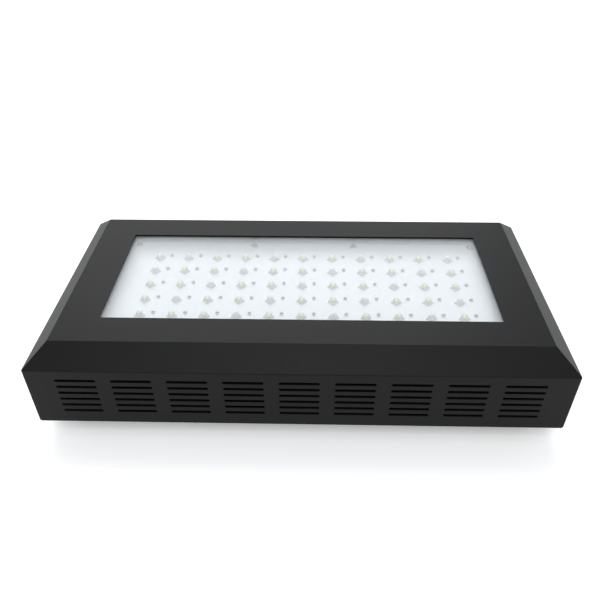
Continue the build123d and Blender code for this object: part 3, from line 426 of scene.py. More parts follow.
def copies(unit_mesh, places, finish, random_turn=0.0, seed=1, turns=None):
    """A mesh with the unit at every place, each turned by its own angle if one is given."""
    points = bpy.data.meshes.new("points")
    points.from_pydata(places, [], [])
    own = points.attributes.new("turn", "FLOAT", "POINT")
    own.data.foreach_set("value", turns or [0.0] * len(places))
    unit = bpy.data.objects.new("unit", unit_mesh)
    scene.collection.objects.link(unit)
    mesh = bake(COPIES, points, {
        "Unit": unit, "Random turn": random_turn, "Seed": seed, "Material": finish,
    })
    bpy.data.objects.remove(unit)
    return mesh


print("tree:", COPIES.name, "with", len(COPIES.nodes), "nodes")

# %% [markdown]
# ## Finishes
# Each finish starts from the real material and how its surface was made. All of them read
# Object coordinates, so a pattern stays where it is on the part. The grain of plating or
# powder is finer than a picture can show, so it is drawn two or three times too coarse.


# %% Paint, plating and bare metal
# Height of the fold under the slope, where a line of painted shade runs round the housing.
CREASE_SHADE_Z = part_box("led_board")[0].z
CREASE_SHADE_HALF = 0.45 * MM


def powder_coated_steel():
    """Polyester powder baked on folded sheet: satin black, with a faint orange-peel skin.

    A thin band just under the fold beneath the slope is painted darker: painted shade along the
    crease.
    """
    looks = {"IOR": 1.5, "Specular IOR Level": 0.12}
    finish, tree, shader = start_finish("powder_coated_steel", looks)
    colour = add_grain(
        tree, shader, ("#0f0f10", "#141415"), 0.8 * MM, 0.012 * MM, (0.4, 0.5), patch=45,
    )
    place = add_node(tree, "ShaderNodeTexCoord").outputs["Object"]
    height = add_node(tree, "ShaderNodeSeparateXYZ", {0: place}).outputs["Z"]
    # Painted shade: a band 0.9 mm tall just under the fold height is darkened, as if shadowed in
    # the crease.
    painted_crease_shade = add_node(
        tree, "ShaderNodeMath",
        {0: height, 1: CREASE_SHADE_Z - CREASE_SHADE_HALF, 2: CREASE_SHADE_HALF}, operation="COMPARE",
    )
    crease_shaded_colour = add_node(
        tree, "ShaderNodeMix",
        {0: painted_crease_shade.outputs[0], 6: colour, 7: linear("#0b0b0c")}, data_type="RGBA",
    )
    tree.links.new(crease_shaded_colour.outputs[2], shader.inputs["Base Color"])
    return finish


def plated_metal(name, colours, roughness, grain=0.5, stretch=(1, 1, 1), depth=0.004):
    """Metal that shows its own reflections, broken up by plating grain or drawn-out lines."""
    finish, tree, shader = start_finish(name, {"Metallic": 1.0})
    add_grain(tree, shader, colours, grain * MM, depth * MM, roughness, patch=9, stretch=stretch)
    return finish


def turned_aluminium(name, centre):
    """Aluminium faced on a lathe, which leaves fine rings about the knob's own centre."""
    finish, tree, shader = start_finish(name, {"Metallic": 1.0, "Base Color": linear("#a8a4a1")})
    place = add_node(tree, "ShaderNodeTexCoord").outputs["Object"]
    about = add_node(
        tree, "ShaderNodeMapping", {"Vector": place, "Location": [-c for c in centre]},
    ).outputs[0]
    ring_width = 0.35 * MM
    rings = add_node(
        tree, "ShaderNodeTexWave",
        {"Vector": about, "Scale": 0.05 * 2 * pi / ring_width, "Distortion": 0.0},
        wave_type="RINGS", rings_direction="Z",
    )
    gloss = add_node(tree, "ShaderNodeMapRange", {"Value": rings.outputs[1], 3: 0.16, 4: 0.3})
    bump = add_node(
        tree, "ShaderNodeBump",
        {"Height": rings.outputs[1], "Distance": 0.012 * MM, "Strength": 1.0},
    )
    tree.links.new(gloss.outputs[0], shader.inputs["Roughness"])
    tree.links.new(bump.outputs[0], shader.inputs["Normal"])
    return finish


BLACK_POWDER = powder_coated_steel()
ZINC = plated_metal("zinc_plated_steel", ("#9a9da0", "#b4b6b7"), (0.26, 0.42))
LUG_STEEL = plated_metal("pressed_steel", ("#a6a8aa", "#bcbec0"), (0.3, 0.45), stretch=(1, 1, 0.08))
WIRE = plated_metal("galvanised_wire", ("#cfcdc6", "#e2e0d9"), (0.28, 0.4), grain=0.25)
CRIMPED = plated_metal("soft_aluminium", ("#b9babb", "#cfd0d1"), (0.34, 0.5))
# Extrusion leaves lines along the length, so the grain is drawn out a hundred times along X.
EXTRUDED = plated_metal(
    "extruded_aluminium", ("#a5a7a9", "#b3b5b7"), (0.36, 0.5), stretch=(0.01, 1, 1),
)
CHROME = plated_metal("chromed_wire", ("#b9bbbe", "#c9cbcd"), (0.08, 0.16), depth=0.001)
TIN = plated_metal("tinned_brass", ("#b3b0a4", "#c8c5b8"), (0.3, 0.42), grain=0.3)
NICKEL = plated_metal("nickel_plated_steel", ("#a7a59f", "#b9b7b0"), (0.2, 0.32))
SILVER = plated_metal("silvered_frame", ("#b5b7b9", "#d0d2d4"), (0.15, 0.3), grain=0.2)
print("paint:", BLACK_POWDER.name)
metals = (ZINC, LUG_STEEL, WIRE, CRIMPED, EXTRUDED, CHROME, TIN, NICKEL, SILVER)
print("metals:", [metal.name for metal in metals])

# %% Plastics, board and glass
# From the first LED to the last there are ten pitches and about 0.3 of one, the LED's own width.
LED_SPAN_IN_PITCHES = 10.3


def moulded(name, colours, roughness, grain=0.6, depth=0.008, patch=30, **looks):
    """A moulded or printed surface: even colour, with the mould's fine spark texture."""
    sockets = {label.replace("_", " "): value for label, value in looks.items()}
    finish, tree, shader = start_finish(name, sockets)
    add_grain(tree, shader, colours, grain * MM, depth * MM, roughness, patch=patch)
    return finish


def board_resist():
    """White solder resist over copper areas, whose edges show as faint steps between LEDs."""
    looks = {"IOR": 1.5, "Coat Weight": 0.15, "Coat Roughness": 0.2}
    finish, tree, shader = start_finish("white_resist", looks)
    colour = add_grain(
        tree, shader, ("#b3b8bc", "#bec3c6"), 0.7 * MM, 0.004 * MM, (0.34, 0.46), patch=80,
    )
    low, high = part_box("led_bodies")
    pitch = (high.x - low.x) / LED_SPAN_IN_PITCHES
    place = add_node(tree, "ShaderNodeTexCoord").outputs["Object"]
    areas = add_node(
        tree, "ShaderNodeTexBrick",
        {"Vector": place, "Scale": 1.0, "Mortar Size": 0.22 * MM, "Brick Width": pitch / 2,
         "Row Height": pitch / 5, "Mortar Smooth": 0.3},
        offset=0.5,
    )
    gaps = add_node(
        tree, "ShaderNodeMix",
        {0: areas.outputs["Fac"], 6: colour, 7: linear("#a7adb1")}, data_type="RGBA",
    )
    tree.links.new(gaps.outputs[2], shader.inputs["Base Color"])
    return finish


def clear_plastic(name, colour, thin, thick, roughness=0.04):
    """A clear sheet or lens: nearly unseen face on, and glossier and denser at a glancing angle."""
    finish, tree, shader = start_finish(
        name, {"Base Color": linear(colour), "Roughness": roughness, "IOR": 1.46},
    )
    glance = add_node(tree, "ShaderNodeLayerWeight", {"Blend": 0.45}).outputs["Facing"]
    alpha = add_node(tree, "ShaderNodeMapRange", {"Value": glance, 3: thin, 4: thick})
    tree.links.new(alpha.outputs[0], shader.inputs["Alpha"])
    place = add_node(tree, "ShaderNodeTexCoord").outputs["Object"]
    waves = add_node(tree, "ShaderNodeTexNoise", {"Vector": place, "Scale": 1 / (25 * MM)})
    bump = add_node(
        tree, "ShaderNodeBump",
        {"Height": waves.outputs[0], "Distance": 0.002 * MM, "Strength": 0.5},
    )
    tree.links.new(bump.outputs[0], shader.inputs["Normal"])
    return finish


RESIST = board_resist()
ACRYLIC = clear_plastic("clear_acrylic", "#f4f8fa", 0.04, 0.4, roughness=0.02)
WARM_LENS = clear_plastic("silicone_over_phosphor", "#e6e9d2", 0.3, 0.8, roughness=0.12)
CLEAR_LENS = clear_plastic("clear_silicone", "#e6ebf0", 0.28, 0.8, roughness=0.1)
FOAM = moulded("closed_cell_foam", ("#121213", "#1b1b1c"), (0.8, 0.95), grain=0.7, depth=0.12)
CERAMIC = moulded("moulded_led_body", ("#9ea295", "#adb1a4"), (0.4, 0.55), grain=0.3)
PHOSPHOR = moulded("yellow_phosphor", ("#c9bf4e", "#d8cf6a"), (0.6, 0.8), grain=0.15)
DIE = moulded("led_die", ("#5b6673", "#74808d"), (0.3, 0.4), grain=0.2)
EPOXY = moulded("moulded_epoxy", ("#2c2e32", "#383a3f"), (0.4, 0.55), grain=0.25)
GREEN_RESIST = moulded("green_resist", ("#1d5a33", "#24693d"), (0.3, 0.42), patch=12)
TAPE = moulded("polyester_tape", ("#c9a43a", "#d8b54c"), (0.25, 0.35), patch=6)
FAN_PLASTIC = moulded("glass_filled_polyester", ("#161617", "#1e1e20"), (0.42, 0.58), depth=0.02)
NYLON_BLACK = moulded(
    "black_nylon", ("#17171a", "#1d1d20"), (0.22, 0.32), depth=0.004, Coat_Weight=0.2,
)
ROCKER_RED = moulded(
    "red_polycarbonate", ("#d5141b", "#e4262a"), (0.12, 0.2), grain=2.0, depth=0.004, patch=5,
    Coat_Weight=0.6, Coat_Roughness=0.06, Subsurface_Weight=0.2, Subsurface_Scale=1.5 * MM,
)
ROCKER_WHITE = moulded(
    "white_polycarbonate", ("#dedcd4", "#e9e7e0"), (0.14, 0.22), grain=2.0, depth=0.004,
    Coat_Weight=0.5,
)
KNOB_PLASTIC = moulded(
    "knob_abs", ("#101012", "#18181a"), (0.16, 0.26), depth=0.003, Coat_Weight=0.3,
)
NYLON_WHITE = moulded("natural_nylon", ("#d2d0c6", "#dfddd4"), (0.4, 0.52), depth=0.01)
WHITE_INK = moulded("white_printing_ink", ("#e6e7e8", "#f3f4f4"), (0.45, 0.6), grain=0.3)
BLUE_INK = moulded("blue_printing_ink", ("#2f6fd0", "#3c7ddd"), (0.45, 0.6), grain=0.3)
print("finishes:", len(bpy.data.materials))

# %% [markdown]
# ## Dressing the engineering parts
# Where an engineering part already has its real shape, it stays and only gets its finish.
# A dictionary from finish to part names says that in one place.

# %% Parts that keep their shape
KEPT = [
    (BLACK_POWDER, ["housing_shell", "back_panel"]),
    (ZINC, ["weld_studs", "stud_nuts", "stud_washers", "inlet_nuts", "dimmer_nuts", "switch_pivots",
            "driver_blue_case", "driver_blue_lid", "driver_white_case", "driver_white_lid"]),
    (LUG_STEEL, ["hanging_lugs"]),
    (ACRYLIC, ["clear_cover"]),
    (FOAM, ["cover_gasket"]),
    (EXTRUDED, ["spacer_frame", "heat_sink"]),
    (RESIST, ["led_board"]),
    (GREEN_RESIST, ["driver_boards"]),
    (TAPE, ["driver_windings"]),
    (FAN_PLASTIC, ["fan_left_frame", "fan_right_frame"]),
    (CHROME, ["fan_left_guard", "fan_right_guard"]),
    (NYLON_BLACK, ["switch_blue_body", "switch_white_body", "inlet_body"]),
    (TIN, ["switch_terminals", "inlet_pins"]),
    (NICKEL, ["dimmer_blue_body", "dimmer_white_body", "dimmer_blue_shaft", "dimmer_white_shaft",
              "dimmer_blue_ring", "dimmer_white_ring"]),
    (KNOB_PLASTIC, ["dimmer_blue_knob", "dimmer_white_knob"]),
    (NYLON_WHITE, ["terminal_block"]),
]
for finish, names in KEPT:
    for name in names:
        for held in nodes[name].material_slots:
            held.material = finish
print("dressed", sum(len(names) for _, names in KEPT), "engineering parts")

# %% [markdown]
# ## Hanging slings
# Two thin wire ropes lie on the floor under the light, each looped through two lugs. A rope
# is one smooth line through listed points: a NURBS spline, which has no corners. Its
# strands could be modelled as helices one by one. Here a tree sweeps a ring of six small
# circles round a core along the line and tilts it steadily, which twists them like the real
# wire. The ends are loops closed by crimped sleeves.

# %% The line of each rope
RIGHT_ROUTE = [
    (170.47, -74.5, 6.5), (165.7, -71.75, 6.2), (157.1, -66.8, 2.9), (145.0, -59.3, 0.8),
    (124.0, -42.0, 0.8), (100.0, -15.0, 0.8), (70.0, 12.0, 0.8), (36.0, 32.0, 0.8),
    (12.0, 58.0, 0.8), (21.0, 88.0, 0.8), (52.0, 95.0, 0.8), (86.0, 90.0, 0.8),
    (117.0, 91.5, 0.8), (142.0, 87.4, 0.8), (155.2, 84.7, 2.9), (163.9, 82.9, 6.2),
    (169.17, 81.91, 6.5),
]
LEFT_ROUTE = [
    (-170.29, -74.84, 6.5), (-165.4, -72.25, 6.2), (-156.6, -67.7, 2.9), (-144.0, -61.6, 0.8),
    (-121.0, -48.0, 0.8), (-92.0, -26.0, 0.8), (-62.0, -6.0, 0.8), (-40.0, 20.0, 0.8),
    (-38.0, 52.0, 0.8), (-60.0, 78.0, 0.8), (-92.0, 84.0, 0.8), (-122.0, 88.0, 0.8),
    (-143.0, 86.0, 0.8), (-155.2, 83.7, 2.9), (-163.7, 82.25, 6.2), (-169.11, 81.53, 6.5),
]


def smooth_line(name, points):
    """The line of edges that a NURBS spline makes of its control points, in metres."""
    curve = bpy.data.curves.new(name, "CURVE")
    curve.dimensions = "3D"
    curve.resolution_u = 12
    spline = curve.splines.new("NURBS")
    spline.points.add(len(points) - 1)
    for control, point in zip(spline.points, points):
        control.co = (*point, 1.0)
    spline.order_u = 3
    spline.use_endpoint_u = True
    holder = bpy.data.objects.new(name, curve)
    line = bpy.data.meshes.new_from_object(holder)
    bpy.data.objects.remove(holder)
    return line


right_line = smooth_line("sling_right_line", [Vector(point) * MM for point in RIGHT_ROUTE])
left_line = smooth_line("sling_left_line", [Vector(point) * MM for point in LEFT_ROUTE])
print("points along the ropes:", len(right_line.vertices), len(left_line.vertices))

# %% Strands, loops and sleeves
ROPE_DIAMETER = 1.5 * MM
STRAND_RADIUS = ROPE_DIAMETER / 6
ROPE_LAY = 11 * MM
ROPE_STEP = 0.9 * MM
LOOP_STEP = 0.5 * MM
LOOP_RADIUS = 4.0 * MM
SLEEVE_RADIUS = 1.7 * MM
SLEEVE_LENGTH = 7.4 * MM


def rope_tree():
    """Six strands and a core, swept along a line and twisted one turn in each lay length."""
    tree, given = start_tree(
        "wire_rope",
        [("Step", "Float"), ("Lay", "Float"), ("Strand radius", "Float"), ("Material", "Material")],
    )
    line = add_node(tree, "GeometryNodeMeshToCurve", {"Mesh": given["Geometry"]}).outputs[0]
    steps = add_node(
        tree, "GeometryNodeResampleCurve", {"Curve": line, "Length": given["Step"]}, mode="LENGTH",
    ).outputs[0]
    along = add_node(tree, "GeometryNodeSplineParameter").outputs["Length"]
    turns = add_node(
        tree, "ShaderNodeMath", {0: along, 1: given["Lay"]}, operation="DIVIDE",
    ).outputs[0]
    tilt = add_node(tree, "ShaderNodeMath", {0: turns, 1: 2 * pi}, operation="MULTIPLY").outputs[0]
    twisted = add_node(tree, "GeometryNodeSetCurveTilt", {"Curve": steps, "Tilt": tilt}).outputs[0]
    radius = given["Strand radius"]
    spread = add_node(
        tree, "ShaderNodeMath", {0: radius, 1: 2.0}, operation="MULTIPLY",
    ).outputs[0]
    ring, strand = [
        add_node(
            tree, "GeometryNodeCurvePrimitiveCircle", {"Resolution": 6, "Radius": size},
            mode="RADIUS",
        ).outputs[0]
        for size in (spread, radius)
    ]
    six = add_node(tree, "GeometryNodeInstanceOnPoints", {"Points": ring, "Instance": strand})
    loose = add_node(
        tree, "GeometryNodeRealizeInstances", {"Geometry": six.outputs[0]},
    ).outputs[0]
    bundle = add_node(tree, "GeometryNodeJoinGeometry")
    tree.links.new(loose, bundle.inputs[0])
    tree.links.new(strand, bundle.inputs[0])
    rope = add_node(
        tree, "GeometryNodeCurveToMesh",
        {"Curve": twisted, "Profile Curve": bundle.outputs[0], "Fill Caps": True},
    )
    end_tree(tree, rope.outputs[0], given["Material"])
    return tree


ROPE = rope_tree()


def wire_rope(line, step):
    """Stranded wire along a line of edges."""
    sizes = {"Step": step, "Lay": ROPE_LAY, "Strand radius": STRAND_RADIUS, "Material": WIRE}
    return bake(ROPE, line, sizes)


def loop_line(eye, toward):
    """A teardrop through a lug's hole, whose two legs lie side by side in the sleeve."""
    across = Vector((-toward.y, toward.x, 0))
    leg = ROPE_DIAMETER / 2
    neck = LOOP_RADIUS + 2 * MM
    bow = [radians(42 + 34.5 * k) for k in range(9)]
    points = [eye + neck * toward + leg * across]
    points += [eye + LOOP_RADIUS * (cos(a) * toward + sin(a) * across) for a in bow]
    points += [eye + neck * toward - leg * across]
    return smooth_line("loop_line", points)


def crimped_sleeve(eye, toward):
    """An oval aluminium sleeve with three crimps, along the way the rope leaves its loop."""
    edge = 0.25 * MM
    pinched = SLEEVE_RADIUS - 0.22 * MM
    crimp_half = 0.6 * MM
    flat_half = 0.25 * MM
    crimps = 3
    land = SLEEVE_LENGTH / (crimps + 1)
    profile = [(0, 0), (SLEEVE_RADIUS - edge, 0), (SLEEVE_RADIUS, edge)]
    for crimp in range(1, crimps + 1):
        middle = crimp * land
        profile += [(SLEEVE_RADIUS, middle - crimp_half), (pinched, middle - flat_half),
                    (pinched, middle + flat_half), (SLEEVE_RADIUS, middle + crimp_half)]
    profile += [(SLEEVE_RADIUS, SLEEVE_LENGTH - edge), (SLEEVE_RADIUS - edge, SLEEVE_LENGTH),
                (0, SLEEVE_LENGTH)]
    across = Vector((-toward.y, toward.x, 0))
    turn = Matrix((across, toward.cross(across), toward)).transposed().to_4x4()
    flatten = Matrix.Diagonal((1, 0.8, 1, 1))
    start = eye + (LOOP_RADIUS - 0.4 * MM) * toward
    return joined("sleeve", [lathe(profile, 20)], Matrix.Translation(start) @ turn @ flatten)


def loose_solid(mesh):
    """A bmesh of a finished mesh, to be joined with others."""
    solid = bmesh.new()
    solid.from_mesh(mesh)
    return solid


def add_sling(side, line, is_here):
    """One rope with the two loops and sleeves at its ends."""
    loops = []
    sleeves = []
    for eye in filter(is_here, centres_of("sling_eyes")):
        sleeve = min(centres_of("sling_ferrules"), key=lambda place: (place - eye).length)
        toward = (sleeve - eye).normalized()
        loops.append(loose_solid(wire_rope(loop_line(eye, toward), LOOP_STEP)))
        sleeves.append(loose_solid(crimped_sleeve(eye, toward)))
    rope = add_piece(f"wire_rope_{side}", wire_rope(line, ROPE_STEP), WIRE,
                     stands_for=[f"sling_{side}"])
    ends = [
        add_piece(f"rope_loops_{side}", joined("loops", loops), WIRE,
                  stands_for=["sling_eyes"]),
        add_piece(f"crimped_sleeves_{side}", joined("sleeves", sleeves), CRIMPED,
                  stands_for=["sling_ferrules"]),
    ]


add_sling("right", right_line, lambda eye: eye.x > 0)
add_sling("left", left_line, lambda eye: eye.x < 0)

# %% [markdown]
# ## Screws
# Every screw is an M3 with a cross recess. One is turned on the lathe with its thread as
# rings, and a cross is cut from its head with a Boolean. The copies tree puts one in each
# place, turned at random as real screws are.


# %% Cross-head screws
def cut_away(mesh, tools):
    """A mesh with the space of each tool taken out of it. Booleans work best near unit size."""
    enlarge = Matrix.Scale(1 / MM, 4)
    mesh.transform(enlarge)
    for tool_mesh in tools:
        tool_mesh.transform(enlarge)
        block = bpy.data.objects.new("block", mesh)
        tool = bpy.data.objects.new("tool", tool_mesh)
        scene.collection.objects.link(block)
        scene.collection.objects.link(tool)
        modifier = block.modifiers.new("cut", "BOOLEAN")
        modifier.operation = "DIFFERENCE"
        modifier.object = tool
        mesh = plain_mesh(block)
        bpy.data.objects.remove(tool)
    mesh.transform(enlarge.inverted())
    return mesh


def cross_screw(head_radius, head_height, length, points_up):
    """A screw with its seat at the origin. A head height of 0 makes a flush countersunk head."""
    thread = 1.5 * MM
    root = 1.25 * MM
    pitch = 0.5 * MM
    cone = 0 if head_height else head_radius - thread
    shank = length - head_height
    crests = int((shank - cone) / pitch)
    profile = [(0, -shank), (root, -shank)]
    for crest in range(crests):
        foot = -shank + crest * pitch
        profile += [(root, foot + 0.05 * MM), (thread, foot + 0.25 * MM), (root, foot + 0.45 * MM)]
    profile += [(thread, -cone), (head_radius, 0)]
    if head_height:
        dome = [(1, 0.35), (0.93, 0.68), (0.72, 0.9), (0.4, 0.98)]
        profile += [(out * head_radius, up * head_height) for out, up in dome]
    profile += [(0, head_height)]
    arm = (1.25 * head_radius, 0.3 * head_radius, 1.1 * head_radius)
    above = head_height + 0.1 * MM
    middle = [(0, head_height - 0.8 * head_radius), (0.42 * head_radius, above), (0, above)]
    cross = [
        joined("arm", [slab(arm, (0, 0, head_height))]),
        joined("arm", [slab((arm[1], arm[0], arm[2]), (0, 0, head_height))]),
        joined("middle", [lathe(middle, 8)]),
    ]
    screw = cut_away(joined("screw", [lathe(profile, 24)]), cross)
    if not points_up:
        screw.transform(Matrix.Rotation(pi, 4, "X"))
    return screw


PAN_HEAD_HEIGHT = 2.2 * MM
SCREW_SETS = [
    ("board_screws", True, PAN_HEAD_HEIGHT), ("panel_screws", False, 0.0),
    ("lug_screws", False, PAN_HEAD_HEIGHT), ("driver_screws", False, PAN_HEAD_HEIGHT),
    ("fan_screws", False, PAN_HEAD_HEIGHT), ("inlet_screws", False, PAN_HEAD_HEIGHT),
]
BLACK_OXIDE = plated_metal("black_oxide_steel", ("#1c1d1f", "#2a2b2d"), (0.36, 0.5))
for seed, (node, points_up, head_height) in enumerate(SCREW_SETS):
    low, high = solids_of(node)[0]
    seat = high.z - head_height if points_up else low.z + head_height
    finish = BLACK_OXIDE if node in ("board_screws", "panel_screws") else ZINC
    unit = cross_screw((high.x - low.x) / 2, head_height, high.z - low.z, points_up)
    made = copies(unit, centres_of(node, seat), finish, random_turn=pi / 2, seed=seed)
    add_piece(f"cross_{node}", made, finish, stands_for=[node])

# %% [markdown]
# ## LEDs and their board
# Each LED is a moulded diamond with a round collar, a phosphor or a bare die in the middle and
# a silicone lens over it. Two silver legs sit on tinned pads, and a small black chip beside it
# bridges it if it fails. Each of these is one shape at 55 places, read from the frame.

# %% LED bodies, legs and pads
board_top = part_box("led_board")[1].z
led_low, led_high = solids_of("led_bodies")[0]
led_corner = (led_high.x - led_low.x) / 2
led_height = led_high.z - led_low.z
led_places = centres_of("led_bodies", board_top)
rim = 2.95 * MM
body_unit = joined("led_body", [
    lathe([(0, 0), (led_corner, 0), (led_corner, 0.42 * led_height),
           (0.92 * led_corner, 0.54 * led_height), (0, 0.54 * led_height)], 4),
    lathe([(0, 0.5 * led_height), (rim, 0.5 * led_height), (rim, 0.9 * led_height),
           (rim - 0.2 * MM, led_height), (0, led_height)], 24),
])
add_piece("led_packages", copies(body_unit, led_places, CERAMIC), CERAMIC,
          stands_for=["led_bodies"])

leg_size = Vector((1.7, 1.2, 0.2)) * MM
pad_size = Vector((1.5, 1.7, 0.05)) * MM
leg_x = led_corner + 0.1 * MM
pad_x = leg_x + 0.4 * MM
leg_unit = joined("legs", [
    slab(leg_size, (side * leg_x, 0, leg_size.z), 0.06 * MM) for side in (-1, 1)
])
pad_unit = joined("pads", [slab(pad_size, (side * pad_x, 0, 0)) for side in (-1, 1)])
add_piece("led_legs", copies(leg_unit, led_places, SILVER), SILVER)
add_piece("solder_pads", copies(pad_unit, led_places, TIN), TIN)

# %% Lenses and what shows through them
dome_low, dome_high = solids_of("led_domes_white")[0]
lens_radius = (dome_high.x - dome_low.x) / 2
lens_steps = 7
lens_angles = [pi / 2 * k / lens_steps for k in range(lens_steps)]
lens_profile = [(lens_radius * cos(a), lens_radius * sin(a)) for a in lens_angles]
lens_unit = joined("lens", [lathe([(0, 0), *lens_profile, (0, lens_radius)], 24)])
core_thickness = 0.3 * MM
die_size = 1.5 * MM
disc_unit = joined("phosphor", [
    lathe([(0, 0), (0.62 * lens_radius, 0), (0.56 * lens_radius, core_thickness),
           (0, core_thickness)], 16),
])
die_unit = joined("die", [slab((die_size, die_size, core_thickness), (0, 0, core_thickness / 2))])
for tint, lens_finish, core_name, core_unit, core_finish in (
    ("white", WARM_LENS, "phosphor_discs", disc_unit, PHOSPHOR),
    ("blue", CLEAR_LENS, "led_dies", die_unit, DIE),
):
    seats = centres_of(f"led_domes_{tint}", board_top + led_height)
    add_piece(f"{tint}_lenses", copies(lens_unit, seats, lens_finish), lens_finish,
              stands_for=[f"led_domes_{tint}"])
    add_piece(core_name, copies(core_unit, seats, core_finish), core_finish)

# %% Bypass chips
chip_low, chip_high = solids_of("bypass_chips")[0]
chip = chip_high - chip_low
end_cap = 0.5 * MM
chip_size = (chip.x, chip.y - 2 * end_cap, chip.z)
chip_unit = joined("chip", [slab(chip_size, (0, 0, chip.z / 2), 0.18 * MM)])
cap_size = (0.8 * chip.x, 2 * end_cap, 0.7 * chip.z)
cap_unit = joined("caps", [
    slab(cap_size, (0, side * (chip.y / 2 - end_cap), 0.35 * chip.z), 0.08 * MM)
    for side in (-1, 1)
])
chip_places = centres_of("bypass_chips", board_top)
add_piece("chip_bodies", copies(chip_unit, chip_places, EPOXY), EPOXY,
          stands_for=["bypass_chips"])
add_piece("chip_ends", copies(cap_unit, chip_places, TIN), TIN)

# %% [markdown]
# ## Switches and dimmer knobs
# The rockers keep the engineering shape, but moulded plastic has soft edges, so a merged copy
# gets a Bevel modifier. A ring and a bar are printed on them. Each knob's cap is turned
# aluminium with a bright chamfer and a white pointer, and a scale of growing dots runs round
# the knob. Each channel is marked by the colour of a dot instead of a word.

# %% Rockers with soft edges
CHANNELS = (
    ("blue", ROCKER_RED, "rocker_red", BLUE_INK),
    ("white", ROCKER_WHITE, "rocker_white", WHITE_INK),
)
INK = 0.05 * MM
SOFT_EDGE = 0.35 * MM
OFF_RING_RADIUS = 1.75 * MM
OFF_RING_WIDTH = 0.4 * MM
ON_BAR = (0.5 * MM, 3.2 * MM, INK)


def softened(node, width):
    """A copy of an engineering part, merged, with its sharp edges rounded."""
    shell = loose_solid(nodes[node].data)
    bmesh.ops.remove_doubles(shell, verts=shell.verts, dist=MERGE_DISTANCE)
    bmesh.ops.dissolve_limit(shell, angle_limit=radians(1), verts=shell.verts, edges=shell.edges)
    holder = bpy.data.objects.new("softened", joined("softened", [shell]))
    scene.collection.objects.link(holder)
    edge = holder.modifiers.new("edge", "BEVEL")
    edge.width = width
    edge.segments = 3
    edge.limit_method = "ANGLE"
    edge.angle_limit = radians(30)
    return plain_mesh(holder)


def hoop(radius, width, height, segments=40):
    """A flat ring on z = 0."""
    inner = radius - width
    return lathe_ring([(inner, 0), (radius, 0), (radius, height), (inner, height)], segments)


def lathe_ring(profile, segments):
    """A closed ring turned about Z from a loop of (radius, height) points."""
    solid = bmesh.new()
    angles = [2 * pi * k / segments for k in range(segments)]
    around = [[solid.verts.new((r * cos(a), r * sin(a), z)) for a in angles] for r, z in profile]
    for low, high in zip(around, around[1:] + around[:1]):
        for k in range(segments):
            after = (k + 1) % segments
            solid.faces.new((low[k], low[after], high[after], high[k]))
    bmesh.ops.recalc_face_normals(solid, faces=solid.faces)
    return solid


def rocker_mark_places(node):
    """Where the ring and the bar go: on the pressed half, which is level, and the raised half."""
    shell = nodes[node].data
    low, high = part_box(node)
    middle_x = (low.x + high.x) / 2
    front = min(shell.vertices, key=lambda vertex: vertex.co.z).co
    level = [v.co for v in shell.vertices if v.normal.z < -0.999 and v.co.y > (low.y + high.y) / 2]
    face_z = min(corner.z for corner in level)
    ridge_y = min(corner.y for corner in level if abs(corner.z - face_z) < 0.01 * MM)
    slope = atan2(face_z - front.z, ridge_y - front.y)
    reach = 0.5 * (high.y - ridge_y)
    ring = Matrix.Translation((middle_x, ridge_y + reach, face_z))
    bar_place = Vector((middle_x, ridge_y - reach * cos(slope), face_z - reach * sin(slope)))
    bar = Matrix.Translation(bar_place) @ Matrix.Rotation(slope, 4, "X")
    return ring, bar


for tint, finish, slot, _ in CHANNELS:
    node = f"switch_{tint}_rocker"
    body = f"rocker_{tint}"
    add_piece(f"{tint}_rocker", softened(node, SOFT_EDGE), finish, body=body,
              stands_for=[node])
    ring_place, bar_place = rocker_mark_places(node)
    mark_ink = WHITE_INK if tint == "blue" else EPOXY
    ring_on = ring_place @ Matrix.Translation((0, 0, -INK))
    ring = joined("ring", [hoop(OFF_RING_RADIUS, OFF_RING_WIDTH, INK)], ring_on)
    bar = joined("bar", [slab(ON_BAR, (0, 0, -INK / 2))], bar_place)
    add_piece(f"{tint}_off_ring", ring, mark_ink, body=body)
    add_piece(f"{tint}_on_bar", bar, mark_ink, body=body)

# %% Knob caps and pointers
POINTER_ANGLE = radians(37)
POINTER_SIZE = (0.55 * MM, 3.4 * MM, 3 * INK)
POINTER_REACH = 3.7 * MM
POINTER_DEPTH = 0.15 * MM


def knob_centre(tint):
    """Middle of a knob, on the axis that it turns about."""
    low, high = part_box(f"dimmer_{tint}_knob")
    return Vector(((low.x + high.x) / 2, (low.y + high.y) / 2, low.z))


def cap_mesh(low, high):
    """A cap facing down: a wide bright chamfer, a raised lip and a slightly dished face."""
    radius = (high.x - low.x) / 2
    height = high.z - low.z
    profile = [
        (0, 0), (radius, 0), (radius, height - 0.9 * MM), (radius - 0.75 * MM, height - 0.1 * MM),
        (radius - 0.85 * MM, height), (radius - 1.1 * MM, height),
        (radius - 1.25 * MM, height - 0.12 * MM), (0.5 * radius, height - 0.2 * MM),
        (0, height - 0.22 * MM),
    ]
    middle = (low + high) / 2
    place = Matrix.Translation((middle.x, middle.y, high.z)) @ Matrix.Rotation(pi, 4, "X")
    return joined("cap", [lathe(profile, 72)], place)


for tint, _, _, _ in CHANNELS:
    body = f"knob_{tint}"
    centre = knob_centre(tint)
    face = turned_aluminium(f"turned_aluminium_{tint}", centre)
    cap_low, cap_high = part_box(f"dimmer_{tint}_cap")
    add_piece(f"{tint}_knob_cap", cap_mesh(cap_low, cap_high), face, body=body,
              stands_for=[f"dimmer_{tint}_cap"])
    pointer = slab(POINTER_SIZE, (0, -POINTER_REACH, 0))
    on_cap = Matrix.Translation((centre.x, centre.y, cap_low.z + POINTER_DEPTH))
    turned = on_cap @ Matrix.Rotation(POINTER_ANGLE, 4, "Z")
    add_piece(f"{tint}_pointer", joined("pointer", [pointer], turned), WHITE_INK,
              body=body)

# %% [markdown]
# ## Scales printed on the back
# Sixteen dots run round each knob and grow from the dim end to the bright end, with ever
# wider steps. A minus and a plus mark the ends. The dots follow a rule, so a tree makes them
# from an index: the angle is the first one, plus even steps, plus a part that grows.

